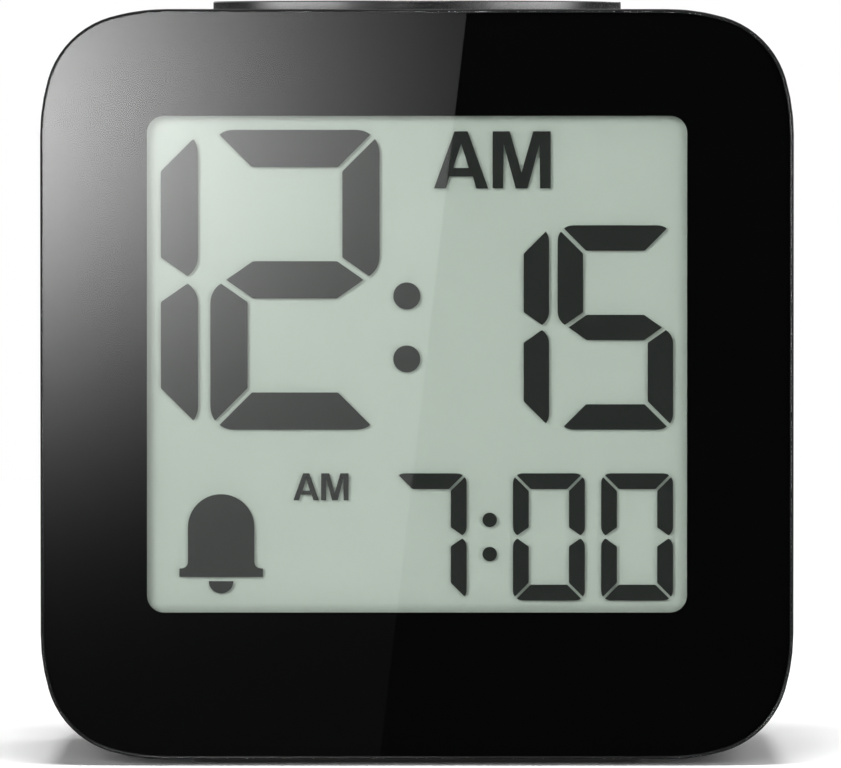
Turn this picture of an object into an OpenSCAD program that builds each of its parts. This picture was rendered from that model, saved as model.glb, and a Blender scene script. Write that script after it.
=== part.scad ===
// Small desk alarm clock: a square face with a flush lens over an LCD, a round button
// let into the top, and its keys, loudspeaker and battery bay in the rear cover.
// X runs to the viewer's right, Y from the face to the back, Z up from the desk.

/* [Body] */
// Face on each side of the window
side_bezel = 8.5; // [8:0.25:14]
// Face above the window
top_bezel = 8.5; // [8.2:0.05:14]
// Face below the window
bottom_bezel = 11.75; // [11.4:0.05:18]
// Top wall left between the face wall and the button's hole
front_margin = 0.35; // [0.2:0.05:6]
// Top wall behind the button's hole
rear_margin = 3.05; // [2.9:0.05:12]
// Radius in the middle of each corner of the outline
corner_r = 7.25; // [6:0.25:9]
// Radius that leads from each corner into the straight sides
blend_r = 16; // [12:0.5:18]
// Wall of the case
wall = 2.4; // [2.1:0.1:2.8]
// Rounding of the rear edge of the case
back_round = 2; // [0.6:0.1:2]
// Small rounding of the other moulded edges
edge_break = 0.25; // [0.1:0.05:0.4]
// How far the feet stand below the case
foot_h = 0.4; // [0.2:0.1:2]
// Length of each foot strip
foot_l = 36; // [16:1:38]
// Width of each foot strip
foot_w = 5; // [3:0.5:7]
// Depth of the pocket that holds a foot strip
foot_sink = 0.8; // [0.4:0.1:1.2]

/* [Face] */
// Thickness of the clear lens
lens_t = 1.5; // [1:0.1:2]
// Rounding of the lens's front edge
lens_round = 0.35; // [0.15:0.05:0.8]
// Distance of the lens from the edge of the case, all round
lens_inset = 0.2; // [0.1:0.05:0.6]
// Thickness of the black mask foil behind the lens
mask_t = 0.2; // [0.1:0.05:0.4]
// Distance of the mask foil from the edge of the lens
mask_inset = 0.1; // [0.05:0.05:1]
// Front wall of the case
front_wall = 1.6; // [1.2:0.1:2.2]
// Width of the clear window
window_w = 43; // [41.5:0.5:54]
// Height of the clear window
window_h = 39.55; // [39:0.05:50]
// Corner radius of the clear window
window_r = 1.35; // [0.5:0.05:3]

/* [Display] */
// Thickness of each LCD glass
glass_t = 0.8; // [0.5:0.1:1.1]
// LCD glass beyond each side of the window
glass_border = 2.1; // [1.5:0.1:2.2]
// LCD front glass above and below the window, with the contact ledge
glass_ledge = 3.15; // [2.9:0.05:3.2]
// Height of a lit LCD segment between the two glasses
ink_t = 0.06; // [0.04:0.01:0.2]
// Thickness of the reflector foil
reflector_t = 0.2; // [0.1:0.05:0.4]
// Thickness of the light guide
guide_t = 2; // [1.5:0.1:2.5]
// Height of a digit of the alarm time
alarm_h = 10.15; // [6:0.05:11]
// Digit height over digit width
digit_slim = 1.77; // [1.75:0.01:2]
// Segment width over digit width
digit_stroke = 0.22; // [0.16:0.01:0.24]
// Gap between segments over segment width
digit_gap = 0.165; // [0.1:0.005:0.25]
// Capital height of the large AM mark
mark_h = 4.56; // [3:0.02:4.8]
// Capital height of the small AM mark
small_mark_h = 2.16; // [1.5:0.02:2.6]
// Radius of the bell sign's dome
bell_r = 2.65; // [1.5:0.05:2.8]
// Distance of the outer digits and marks from the right side of the window
text_margin = 1.08; // [0.8:0.02:2]
// Distance of the alarm time from the bottom of the window
low_margin = 0.9; // [0.7:0.05:2]
// Distance of the hour digits from the top of the window
high_margin = 1.12; // [0.9:0.02:2]
// Space between the time and the alarm time
row_gap = 3.48; // [2:0.02:5]
// Space between the minute digits and the large AM mark
mark_gap = 2.93; // [2:0.01:4]
// Right side of the hour digits from the left side of the window
hour_x = 18.52; // [17.5:0.02:19]

/* [Top button] */
// Diameter of the round button
button_d = 33.1; // [27:0.1:38]
// How far the button stands above the case
button_rise = 0.7; // [0.6:0.1:2]
// Press of the button
button_travel = 0.8; // [0.3:0.1:0.8]
// Gap round the button
button_gap = 0.3; // [0.25:0.05:0.5]
// Rounding of the button's upper edge
button_edge = 0.1; // [0.05:0.05:0.5]
// Depth of the dish in the button's top
button_dish = 0.4; // [0.1:0.05:0.6]
// Thickness of the button's top
button_t = 1.7; // [1.4:0.1:2]
// Wire diameter of the button springs
button_wire = 0.5; // [0.3:0.05:0.55]
// Radius of the button springs at the middle of the wire
spring_r = 2; // [1.8:0.1:2.6]
// Turns of the button springs
button_turns = 4; // [2:1:4]

/* [Rear keys] */
// Diameter of a key
key_d = 5.6; // [4:0.1:6]
// How far the keys stand out of the rear cover
key_proud = 0.6; // [0.4:0.1:1]
// Press of a key
key_travel = 0.6; // [0.3:0.1:0.7]
// Gap round a key
key_gap = 0.3; // [0.25:0.05:0.4]
// Distance of the keys from the loudspeaker's seat
key_room = 6.05; // [5.7:0.05:7]
// Distance between the upper and the lower key
key_pitch = 8.9; // [7.6:0.1:11]
// Throw of the alarm slider
slider_travel = 2.4; // [1.5:0.1:2.6]

/* [Loudspeaker] */
// Diameter of the loudspeaker
speaker_d = 20; // [16:0.5:22]
// Radius of a hole in the grille
grille_r = 0.7; // [0.4:0.05:0.9]
// Rings of holes round the middle one
grille_rings = 3; // [1:1:3]

/* [Batteries] */
// Diameter of a cell
cell_d = 10.2; // [9.5:0.1:10.6]
// Length of a cell with its nub
cell_l = 44.5; // [38:0.5:45]
// Length of a contact spring with the cell in place
cell_spring_l = 5.1; // [4.9:0.1:5.6]
// Wire diameter of the contact springs
cell_wire = 0.6; // [0.4:0.05:0.6]
// Radius of the contact springs at the middle of the wire
cell_spring_r = 2.6; // [2:0.1:3.2]
// Wall of the battery bay
bay_t = 1.2; // [0.8:0.1:1.2]
// Thickness of the battery door
door_t = 1.5; // [1.3:0.1:1.6]
// Radius of the round lower edge that the door turns about
hinge_r = 0.8; // [0.6:0.05:0.85]
// Grooves in the door for a thumb
grip_count = 4; // [2:1:6]
// Length of the grooves
grip_l = 13; // [8:0.5:20]
// Depth of the grooves
grip_depth = 0.35; // [0.2:0.05:0.6]
// Radius of the door's hinge pins
pin_r = 0.45; // [0.35:0.05:0.5]

/* [Boards and screws] */
// Thickness of the circuit boards
board_t = 1.2; // [0.8:0.1:1.6]
// Height of a push switch without its plunger
switch_h = 3.1; // [2.5:0.1:3.1]
// Thread diameter of the case screws
case_screw_d = 1.8; // [1.4:0.1:2.2]
// Thread diameter of the board screws
board_screw_d = 1.1; // [0.9:0.1:1.4]
// Thickness of the rear cover
cover_t = 2; // [1.8:0.1:2.4]
// Radius of the resin drop over the chip
chip_r = 5.5; // [3:0.1:6]
// Height of the resin drop
chip_h = 1.6; // [1:0.1:2.5]
// Diameter of the crystal's can
crystal_d = 2.1; // [1.5:0.1:3]
// Length of the crystal's can
crystal_l = 6; // [5:0.1:8]
// Diameter of the capacitor
capacitor_d = 5; // [4:0.1:6.3]
// Length of the capacitor
capacitor_l = 7; // [5:0.1:9]
// Width of the ribbon cable
ribbon_w = 12; // [8:0.5:14]
// Thickness of the ribbon cable
ribbon_t = 0.3; // [0.2:0.05:0.5]

/* [Clearances] */
// Gap round pieces that are let into others
fit = 0.15; // [0.1:0.05:0.2]
// Gap between a held piece and its stop
seat = 0.1; // [0.05:0.05:0.15]
// Play of a pin or plunger in its bore
play = 0.05; // [0.02:0.01:0.08]

/* [Hidden] */
$fn = 64;

// Each corner is a round corner between two larger blends, split along a 7-24-25 slope.
split = [24 / 25, 7 / 25];
floor_z = foot_h + wall;

// The battery bay above the screw posts, and the loudspeaker above the bay: the case goes round them.
post_r = 2.5;
post_x = 20;
post_z = floor_z + post_r + 0.7;
plate_t = 0.4;
cell_r = cell_d / 2;
cell_space = 0.4;
bay_hw = (cell_l + cell_spring_l) / 2 + plate_t;
bay_z0 = post_z + post_r + 0.5 + bay_t;
bay_z1 = bay_z0 + 2 * cell_d + 3 * cell_space;
speaker_r = speaker_d / 2;
speaker_room = 0.75;
seat_wall = 1.1;
stack_z = bay_z1 + bay_t + speaker_room + speaker_d + fit + seat_wall;
body_w = max(window_w + 2 * side_bezel, 2 * (bay_hw + bay_t + 0.9 + fit + wall));
body_h = max(window_h + bottom_bezel + top_bezel, stack_z + 0.4 + wall - foot_h);
hw = body_w / 2;
hh = body_h / 2;
corner_box = blend_r - (blend_r - corner_r) * (split.x - split.y);
corner_in = blend_r - (blend_r - corner_r) * split.x;
mid_z = foot_h + hh;
top_z = foot_h + body_h;
ceiling_z = top_z - wall;

// Planes from the face to the back, with the button's hole between front and rear wall.
button_r = button_d / 2;
hole_r = button_r + button_gap;
depth = lens_t + mask_t + front_wall + front_margin + 2 * hole_r + rear_margin + key_proud;
lens_y = -depth / 2;
mask_y = lens_y + lens_t;
case_y = mask_y + mask_t;
inside_y = case_y + front_wall;
button_y = inside_y + front_margin + hole_r;
back_y = depth / 2 - key_proud;
cover_y = back_y - cover_t;

// The display behind the window.
lip_t = 0.5;
lip_w = 0.6;
win_z = foot_h + bottom_bezel + window_h / 2;
glass_w = window_w + 2 * glass_border;
glass_h = window_h + 2 * glass_ledge;
rear_glass_h = window_h + 0.7;
glass_y = case_y + lip_t;
cell_gap_y = glass_y + glass_t;
rear_glass_y = cell_gap_y + ink_t;
reflector_y = rear_glass_y + glass_t;
guide_y = reflector_y + reflector_t;
guide_end_y = guide_y + guide_t;
board_y = guide_end_y + 0.25;
board_back_y = board_y + board_t;
guide_inset = 0.2;
led = [1, 1.6, 3];
zebra_t = 1.8;
zebra_z = rear_glass_h / 2 + 0.2;
holder_wall = 0.55;
holder_y = max(inside_y, cell_gap_y);

// Places on the main board, from the middle of the window.
chip_at = [0, -10];
crystal_at = [8, -6];
capacitor_at = [-14, -6];
led_at = 8;
ribbon_up = 10;
ribbon_down = 5;

// Rows and columns of the display, from the window's lower left corner.
hour_space = 0.98;
minute_space = 0.68;
alarm_space = 1.3;
alarm_z = low_margin;
time_z = alarm_z + alarm_h + row_gap;
hour_h = window_h - time_z - high_margin;
mark_z = time_z + hour_h - 0.11 - mark_h;
minute_h = mark_z - mark_gap - time_z;
hour_w = (hour_x - hour_space - text_margin) / (1 + digit_stroke);
minute_w = minute_h / digit_slim;
alarm_w = alarm_h / digit_slim;
minute_pitch = minute_w + minute_space;
alarm_pitch = alarm_w + alarm_space;
seven_x = window_w - text_margin - 2 * alarm_pitch - 2.39;
// The AM mark in capital heights: the start of its second letter, and its width.
mark_second = 1.025;
mark_wide = mark_second + 1.015;
small_mark_x = seven_x - alarm_w - 3.68 - mark_wide * small_mark_h;

// Bosses and posts of the case.
boss_r = 1.6;
boss_x = hw - wall - boss_r + 0.1;
boss_spread = 16.5;
case_screw_l = 10;
key_screw_l = 5;
top_screw_l = 4.5;
post_hole_l = case_screw_l + 2;
head_t = 1;
case_head_r = case_screw_d / 2 + 1;
board_head_r = board_screw_d / 2 + 0.75;
foot_y = 14;

// Battery bay and its door.
door_in_y = back_y - door_t;
bay_y = door_in_y - cell_d - 1.1;
cell_y = bay_y + seat + cell_r;
cell_low_z = bay_z0 + cell_space + cell_r;
cell_high_z = bay_z1 - cell_space - cell_r;
open_hw = bay_hw - 1.6;
door_hw = open_hw + 0.85;
door_lap = 0.8;
door_z0 = bay_z0 - door_lap + 2 * fit;
door_z1 = bay_z1 + door_lap - fit;
hinge_y = back_y - hinge_r;
hinge_z = door_z0 + hinge_r;
pin_l = 0.9;
notch_r = 4.2;
notch_depth = 1;

// Rear cover: the loudspeaker above the bay, with the keys beside it.
speaker_z = max(bay_z1 + bay_t + speaker_room + speaker_r, (bay_z1 + bay_t + ceiling_z) / 2 - 1.65);
key_x = speaker_r + fit + seat_wall + key_room;
flange_t = 1;
stem_l = 1.1;
key_out = key_travel + 0.4;
key_y = cover_y - seat - flange_t - stem_l;
key_board_back_y = key_y - key_out - switch_h;
key_board_y = key_board_back_y - board_t;
key_high_z = speaker_z + key_pitch / 2;
key_low_z = speaker_z - key_pitch / 2;
key_boss = [key_x + 5.3, 1.8];
switch_w = 6.2;
key_board_hw = key_boss[0] + 3.2;
key_board_low = key_pitch / 2 + 4.5;
key_board_high = key_pitch / 2 + switch_w / 2 + 0.6;
plunger_r = 1.7;
switch_floor = 0.5;
gasket_t = 0.6;
pad_t = 0.8;
magnet_t = 1.6;
seat_l = 3;
speaker_front_y = cover_y - gasket_t;
magnet_y = key_board_back_y + pad_t;
basket_y = magnet_y + magnet_t;
basket_t = 0.6;
grille_pitch = (speaker_r - 2.2) / grille_rings;
slider = [4, 2.6, slider_travel + 6.4, 4.6, 0.8];
slider_proud = key_proud - 0.1;
slide_pin = 1.5;
slide_switch = [slide_pin + slider_travel + 4.7, 3.5, 3.6];
hook = [14, 4, 1.4, 1];

tail_w = 1.2;
tail_z = speaker_z - key_board_low - 0.6;
wire_r = 0.45;
wire_bend = 1;
positive_tail_y = key_board_back_y + wire_bend;
negative_tail_y = bay_y + 0.3 + tail_w / 2;

// Top button, its switch and its springs.
button_top = top_z + button_rise;
button_under = button_top - button_t;
skirt_t = 1.5;
skirt_z = ceiling_z - 0.8;
tab = [1.35, 5, 1];
hanger_r = 2.2;
hanger_x = hole_r + 1.45 + hanger_r;
hanger_l = 4.8;
top_board_z = ceiling_z - hanger_l;
top_board_w = 10;
top_out = button_travel + 0.2;
top_key_z = top_board_z + switch_h + top_out;
spring_x = 9;
peg_r = spring_r - button_wire / 2 - 0.35;
peg_l = 1.5;

case_black = [0.06, 0.06, 0.065];
key_grey = [0.11, 0.11, 0.115];
board_green = [0.1, 0.3, 0.16];
steel = [0.72, 0.73, 0.75];
brass = [0.8, 0.66, 0.32];
clear = [0.75, 0.82, 0.8, 0.3];

function corner_arcs() = [for (sx = [-1, 1], sz = [-1, 1])
  let (v = [sx * split.x, sz * split.y], w = [sx * split.y, sz * split.x])
  each [[[sx * (hw - blend_r), sz * (hh - corner_box)], blend_r, [v.x, -v.y], v],
        [[sx * (hw - corner_in), sz * (hh - corner_in)], corner_r],
        [[sx * (hw - corner_box), sz * (hh - blend_r)], blend_r, w, [-w.x, w.y]]]];

module box(a, b) translate(a) cube(b - a);
module rod_x(r, a, l) translate(a) rotate([0, 90, 0]) cylinder(r = r, h = l);
module rod_y(r, a, l) translate(a) rotate([-90, 0, 0]) cylinder(r = r, h = l);
module rod_z(r, a, l) translate(a) cylinder(r = r, h = l);
module along_y(y0, y1) translate([0, y1, 0]) rotate([90, 0, 0]) linear_extrude(y1 - y0) children();
module both_sides() for (s = [-1, 1]) scale_x(s) children();
module scale_x(s) if (s < 0) mirror([1, 0, 0]) children(); else children();

module wedge(a) polygon([a[0], a[0] + 2 * a[1] * a[2], a[0] + 2 * a[1] * (a[2] + a[3]),
  a[0] + 2 * a[1] * a[3]]);
module in_wedge(a, y0, y1) if (len(a) > 2) intersection() {
  children();
  along_y(y0, y1) wedge(a);
} else children();

// The body's outline in the XZ plane, drawn in by inset.
module outline(inset = 0) translate([0, mid_z]) {
  square([2 * (hw - inset), 2 * (hh - corner_box)], center = true);
  square([2 * (hw - corner_box), 2 * (hh - inset)], center = true);
  for (a = corner_arcs()) if (len(a) > 2) intersection() {
    translate(a[0]) circle(a[1] - inset);
    wedge(a);
  } else translate(a[0]) circle(a[1] - inset);
}

// Half a section through a slab of half-width r, with its outer edges rounded.
module edge_profile(r, y0, y1, f0, f1) {
  translate([0, y0 + f0]) square([r, y1 - y0 - f0 - f1]);
  for (e = [[f0, y0, y0 + f0], [f1, y1 - f1, y1 - f1]]) if (e[0] > 0) {
    translate([0, e[1]]) square([r - e[0], e[0]]);
    intersection() {
      translate([r - e[0], e[2]]) circle(e[0]);
      translate([r - e[0], e[1]]) square(e[0]);
    }
  }
}

// A slab with the body's outline from y0 to y1, its front and rear edges rounded by f0 and f1.
module slab(inset, y0, y1, f0 = 0, f1 = 0) translate([0, 0, mid_z]) {
  linear_extrude(2 * (hh - corner_box), center = true) for (s = [0, 1])
    mirror([s, 0]) edge_profile(hw - inset, y0, y1, f0, f1);
  rotate([0, -90, 0]) linear_extrude(2 * (hw - corner_box), center = true) for (s = [0, 1])
    mirror([s, 0]) edge_profile(hh - inset, y0, y1, f0, f1);
  for (a = corner_arcs()) in_wedge(a, y0 - 1, y1 + 1) translate([a[0].x, 0, a[0].y]) rotate([-90, 0, 0])
    rotate_extrude() edge_profile(a[1] - inset, y0, y1, f0, f1);
}

// A rectangle with round corners, its lower left corner at the origin.
module round_rect(w, h, r) {
  translate([r, 0]) square([w - 2 * r, h]);
  translate([0, r]) square([w, h - 2 * r]);
  for (x = [0, 1], y = [0, 1]) translate([x * w, y * h]) mirror([x, 0]) mirror([0, y]) intersection() {
    translate([r, r]) circle(r);
    square(r);
  }
}

module window(grow = 0) translate([-window_w / 2 - grow, win_z - window_h / 2 - grow])
  round_rect(window_w + 2 * grow, window_h + 2 * grow, window_r + grow);

module pane(w, h, y0, y1) along_y(y0, y1) translate([0, win_z]) square([w, h], center = true);

// A wire coil up Z: straight ends, a bend at each and an even helix between.
function coil_plan(r, d, turns, l) =
  let (n = 8 * turns, step = 2 * PI * r / 8, rise = l - 4 * d,
       start = concat([[0, 0]], [for (i = [0:3]) [d * (1 - cos(30 * i)), d + d * sin(30 * i)]]),
       far = 2 * d + n * step)
  concat(start, [for (i = [1:n - 1]) [d + i * step, 2 * d + rise * i / n]],
    [for (i = [len(start) - 1:-1:0]) [far - start[i][0], l - start[i][1]]]);
function coil_points(plan, r) = [for (p = plan) let (a = p[0] / r * 180 / PI) [r * cos(a), r * sin(a), p[1]]];
function coil_gap(plan, r, d) = let (p = coil_points(plan, r))
  min([for (i = [0:len(p) - 1], j = [0:len(p) - 1]) if (j > i + 6) norm(p[i] - p[j])]) - d;

module coil(r, d, turns, l, name) {
  plan = coil_plan(r, d, turns, l);
  last = len(plan) - 1;
  echo(str(name, ": least gap between turns, mm"), coil_gap(plan, r, d));
  points = [for (i = [0:last]) let (
      a = plan[i][0] / r * 180 / PI,
      way = plan[min(i + 1, last)] - plan[max(i - 1, 0)],
      t = way / norm(way),
      out = [cos(a), sin(a), 0],
      side = [-sin(a) * t[1], cos(a) * t[1], -t[0]])
    for (k = [0:5]) r * out + [0, 0, plan[i][1]] + d / 2 * (cos(60 * k) * out + sin(60 * k) * side)];
  polyhedron(points, concat([[for (k = [0:5]) k]], [[for (k = [5:-1:0]) 6 * last + k]],
    [for (i = [0:last - 1], k = [0:5]) let (a = 6 * i + k, b = 6 * i + (k + 1) % 6)
      each [[a, a + 6, b + 6], [a, b + 6, b]]]));
}

// A wire that rises from the origin, bends towards +Y and runs on.
module bent_wire(rise, run) {
  rod_z(wire_r, [0, 0, 0], rise);
  translate([0, wire_bend, rise]) mirror([0, 1, 0]) rotate([90, 0, 90])
    rotate_extrude(angle = 90) translate([wire_bend, 0]) circle(wire_r);
  if (run > 0) rod_y(wire_r, [0, wire_bend, rise + wire_bend], run);
}

// A pan-head screw along +Y, the underside of its head at the origin.
module screw(r, head_r, l) {
  rod_y(r, [0, -l, 0], l + 0.1);
  difference() {
    rod_y(head_r, [0, 0, 0], head_t);
    for (a = [0, 90]) rotate([0, a, 0]) box([-0.65 * head_r, head_t - 0.5, -0.2], [0.65 * head_r, head_t + 1, 0.2]);
  }
}

module foot(y) translate([-foot_l / 2, y - foot_w / 2, 0])
  linear_extrude(foot_h + foot_sink) round_rect(foot_l, foot_w, foot_w / 2 - 0.01);

module case_shell() {
  difference() {
    slab(0, case_y, back_y, edge_break, min(back_round, wall - 0.3));
    along_y(inside_y, back_y + 1) outline(wall);
  }
  both_sides() {
    rod_y(post_r, [post_x, inside_y - 0.5, post_z], cover_y - inside_y + 0.5);
    box([post_x - 0.6, inside_y - 0.5, floor_z - 0.5], [post_x + 0.6, cover_y, post_z]);
    for (s = [-1, 1]) rod_y(boss_r, [boss_x, inside_y - 0.5, win_z + s * boss_spread], board_y - inside_y + 0.5);
    rod_z(hanger_r, [hanger_x, button_y, top_board_z], hanger_l + 0.5);
  }
}

module main_case() color(case_black) difference() {
  case_shell();
  along_y(case_y - 1, inside_y + 1) window(lip_w);
  pane(glass_w + 2 * seat, glass_h + 2 * seat, glass_y, inside_y + 1);
  rod_z(hole_r, [0, button_y, ceiling_z - 0.5], wall + 1);
  translate([0, button_y, top_z - edge_break]) cylinder(r1 = hole_r, r2 = hole_r + 2 * edge_break, h = 2 * edge_break);
  for (s = [-1, 1]) translate([-foot_l / 2 - seat, s * foot_y - foot_w / 2 - seat, foot_h - 1])
    linear_extrude(foot_sink + 1) round_rect(foot_l + 2 * seat, foot_w + 2 * seat, foot_w / 2);
  both_sides() {
    rod_y(case_screw_d / 2 + play, [post_x, cover_y - post_hole_l, post_z], post_hole_l + 1);
    for (s = [-1, 1])
      rod_y(board_screw_d / 2 + play, [boss_x, inside_y - 0.5, win_z + s * boss_spread], board_y - inside_y + 1);
    rod_z(board_screw_d / 2 + play, [hanger_x, button_y, top_board_z - 1], hanger_l);
    box([hook.x - hook.y / 2 - fit, cover_y - 2 - fit, ceiling_z - 0.5],
      [hook.x + hook.y / 2 + fit, cover_y - 2 + hook.z + fit, ceiling_z + hook[3] + fit]);
  }
}

module front_lens() color(clear) slab(lens_inset, lens_y, mask_y, lens_round, 0);

module lens_mask() color("black") along_y(mask_y, case_y) difference() {
  outline(lens_inset + mask_inset);
  window();
}

module front_foot() color([0.1, 0.1, 0.1]) foot(-foot_y);
module rear_foot() color([0.1, 0.1, 0.1]) foot(foot_y);

module lcd_front_glass() color(clear) pane(glass_w, glass_h, glass_y, cell_gap_y);

// Outlines of the seven segments of a digit, with half a gap taken off each cut end.
function segment(name, w, h, t) =
  let (s = digit_gap * t / 2, k = s * sqrt(2), v = s * sqrt(1.49), n = v / 0.7, tip = t * (1 - 0.5 / 0.7),
       b = [[w, h - k], [w - t, h - t - k], [w - t, h / 2 + t / 2 + v], [w, h / 2 - 0.2 * t + v]])
  name == "a" ? [[k, h], [w - k, h], [w - t - k, h - t], [t + k, h - t]] :
  name == "b" ? b :
  name == "c" ? [for (p = b) [p.x, h - p.y]] :
  name == "d" ? [[k, 0], [w - k, 0], [w - t - k, t], [t + k, t]] :
  name == "e" ? [for (p = b) [w - p.x, h - p.y]] :
  name == "f" ? [for (p = b) [w - p.x, p.y]] :
  [[tip + n, h / 2], [t + n, h / 2 + t / 2], [w - t - n, h / 2 + t / 2], [w - tip - n, h / 2],
   [w - t - n, h / 2 - t / 2], [t + n, h / 2 - t / 2]];

// A digit whose lower right corner is at the origin.
module digit(w, h, lit) {
  t = w * digit_stroke;
  translate([-w, 0]) for (name = lit)
    if (name == "g") polygon(segment(name, w, h, t));
    else intersection() {
      translate([0, name == "a" || name == "b" || name == "f" ? h / 2 : 0]) round_rect(w, h / 2, 0.62 * t);
      polygon(segment(name, w, h, t));
    }
}

module am_mark(h) scale(h) {
  difference() {
    polygon([[0, 0], [0.21, 0], [0.27, 0.21], [0.68, 0.21], [0.74, 0], [0.95, 0], [0.59, 1], [0.36, 1]]);
    polygon([[0.34, 0.36], [0.61, 0.36], [0.475, 0.78]]);
  }
  translate([mark_second, 0]) polygon([[0, 0], [0.185, 0], [0.195, 0.77], [0.405, 0], [0.61, 0], [0.82, 0.77],
    [0.83, 0], [1.015, 0], [1.015, 1], [0.71, 1], [0.505, 0.28], [0.3, 1], [0, 1]]);
}

module bell_sign() {
  rim = [bell_r * 1.257, bell_r * 0.26];
  straight = bell_r * 1.237;
  translate([0, straight + rim.y]) circle(bell_r);
  translate([-bell_r, 0]) square([2 * bell_r, straight + rim.y]);
  translate([-rim.x, 0]) square([2 * rim.x, rim.y]);
  for (s = [0, 1]) mirror([s, 0]) difference() {
    translate([bell_r - 0.01, rim.y - 0.01]) square(0.2 * bell_r);
    translate([1.2 * bell_r, rim.y + 0.2 * bell_r]) circle(0.2 * bell_r);
  }
  translate([0, -bell_r * 0.125]) intersection() {
    circle(bell_r * 0.37);
    translate([-bell_r, -bell_r]) square([2 * bell_r, bell_r]);
  }
}

module lcd_segments() color([0.16, 0.18, 0.17]) along_y(cell_gap_y, rear_glass_y)
  translate([-window_w / 2, win_z - window_h / 2]) {
    right = window_w - text_margin;
    translate([hour_x - hour_w - hour_space, time_z]) digit(hour_w, hour_h, "bc");
    translate([hour_x, time_z]) digit(hour_w, hour_h, "abged");
    for (s = [-1, 1]) translate([hour_x + 2.17, time_z + 8.15 + s * 2.51]) circle(1.08);
    translate([right - minute_pitch, time_z]) digit(minute_w, minute_h, "bc");
    translate([right, time_z]) digit(minute_w, minute_h, "afgcd");
    translate([hour_x + 4.33, mark_z]) am_mark(mark_h);
    for (i = [0, 1]) translate([right - i * alarm_pitch, alarm_z]) digit(alarm_w, alarm_h, "abcdef");
    for (s = [-1, 1]) translate([right - 2 * alarm_pitch - 0.55, alarm_z + 5.07 + s * 1.365]) circle(0.58);
    translate([seven_x, alarm_z]) digit(alarm_w, alarm_h, "abc");
    translate([small_mark_x, alarm_z + alarm_h - small_mark_h]) am_mark(small_mark_h);
    translate([5.88, alarm_z + 1.87]) bell_sign();
  }

module lcd_seal() color([0.55, 0.57, 0.5]) along_y(cell_gap_y, rear_glass_y) translate([0, win_z]) difference() {
  square([glass_w, rear_glass_h], center = true);
  square([glass_w - 1, rear_glass_h - 0.6], center = true);
}

module lcd_rear_glass() color(clear) pane(glass_w, rear_glass_h, rear_glass_y, reflector_y);
module lcd_reflector() color([0.74, 0.79, 0.74])
  pane(glass_w - 2 * guide_inset, rear_glass_h - guide_inset, reflector_y, guide_y);

module light_guide() color([0.9, 0.93, 0.92, 0.6]) along_y(guide_y, guide_end_y)
  translate([guide_inset - glass_w / 2, win_z - (rear_glass_h - guide_inset) / 2])
    square([glass_w - 2 * guide_inset - led.x - 0.2, rear_glass_h - guide_inset]);

module backlight_leds() color([0.95, 0.93, 0.8]) for (s = [-1, 1])
  translate([glass_w / 2 - guide_inset - led.x, board_y - led.y, win_z + s * led_at - led.z / 2]) cube(led);

module zebra(s) along_y(cell_gap_y, board_y)
  translate([-glass_w / 2 + 1.6, win_z + (s > 0 ? zebra_z : -zebra_z - zebra_t)]) square([glass_w - 3.2, zebra_t]);
module zebra_top() color([0.7, 0.45, 0.42]) zebra(1);
module zebra_bottom() color([0.7, 0.45, 0.42]) zebra(-1);

module lcd_holder() color([0.9, 0.9, 0.88]) {
  inner_h = 2 * (zebra_z + zebra_t + fit);
  along_y(holder_y, board_y) translate([0, win_z]) difference() {
    square([glass_w + 2 * (seat + holder_wall), glass_h + 2 * seat], center = true);
    square([glass_w + 2 * seat, inner_h], center = true);
  }
  for (s = [-1, 1]) along_y(cell_gap_y, holder_y + 0.2)
    translate([0, win_z + s * (glass_h / 2 + inner_h / 2) / 2])
      square([glass_w - 1, (glass_h - inner_h) / 2], center = true);
}

module main_board() color(board_green) along_y(board_y, board_back_y) difference() {
  intersection() {
    outline(wall + seat + 0.3);
    translate([-hw, win_z - glass_h / 2 + 0.2]) square([body_w, glass_h + 0.2]);
  }
  for (sx = [-1, 1], sz = [-1, 1]) translate([sx * boss_x, win_z + sz * boss_spread]) circle(board_screw_d / 2 + 0.2);
}

module chip_blob() color([0.05, 0.05, 0.05]) translate([chip_at.x, board_back_y, win_z + chip_at.y]) rotate([-90, 0, 0]) {
  round = (chip_r ^ 2 + chip_h ^ 2) / (2 * chip_h);
  rotate_extrude() intersection() {
    translate([0, chip_h - round]) circle(round, $fn = 360);
    square([chip_r + 1, chip_h + 1]);
  }
}

module crystal_can() color(steel) translate([crystal_at.x, board_back_y, win_z + crystal_at.y]) {
  rod_x(crystal_d / 2, [0, crystal_d / 2, 0], crystal_l);
  box([0.2, 0, -0.3 * crystal_d], [crystal_l - 0.2, 0.3 * crystal_d, 0.3 * crystal_d]);
}

module capacitor() color([0.1, 0.12, 0.3]) rod_y(capacitor_d / 2,
  [capacitor_at.x, board_back_y, win_z + capacitor_at.y], capacitor_l);

module board_screws() color(steel) for (sx = [-1, 1], sz = [-1, 1])
  translate([sx * boss_x, board_back_y, win_z + sz * boss_spread])
    screw(board_screw_d / 2, board_head_r, board_back_y - inside_y);

// A flat cable from the main board to the key board, with an easy S bend.
module ribbon_cable() color([0.75, 0.75, 0.72]) {
  from = win_z + ribbon_up;
  to = speaker_z - ribbon_down;
  half = ribbon_t / 2;
  line = [for (i = [0:16]) let (t = i / 16)
    [board_back_y + (key_board_y - board_back_y) * t, from + (to - from) * t * t * (3 - 2 * t)]];
  translate([-ribbon_w / 2, 0, 0]) rotate([90, 0, 90]) linear_extrude(ribbon_w) polygon(concat([for (p = line) p + [0, half]],
    [for (i = [16:-1:0]) line[i] - [0, half]]));
}

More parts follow.
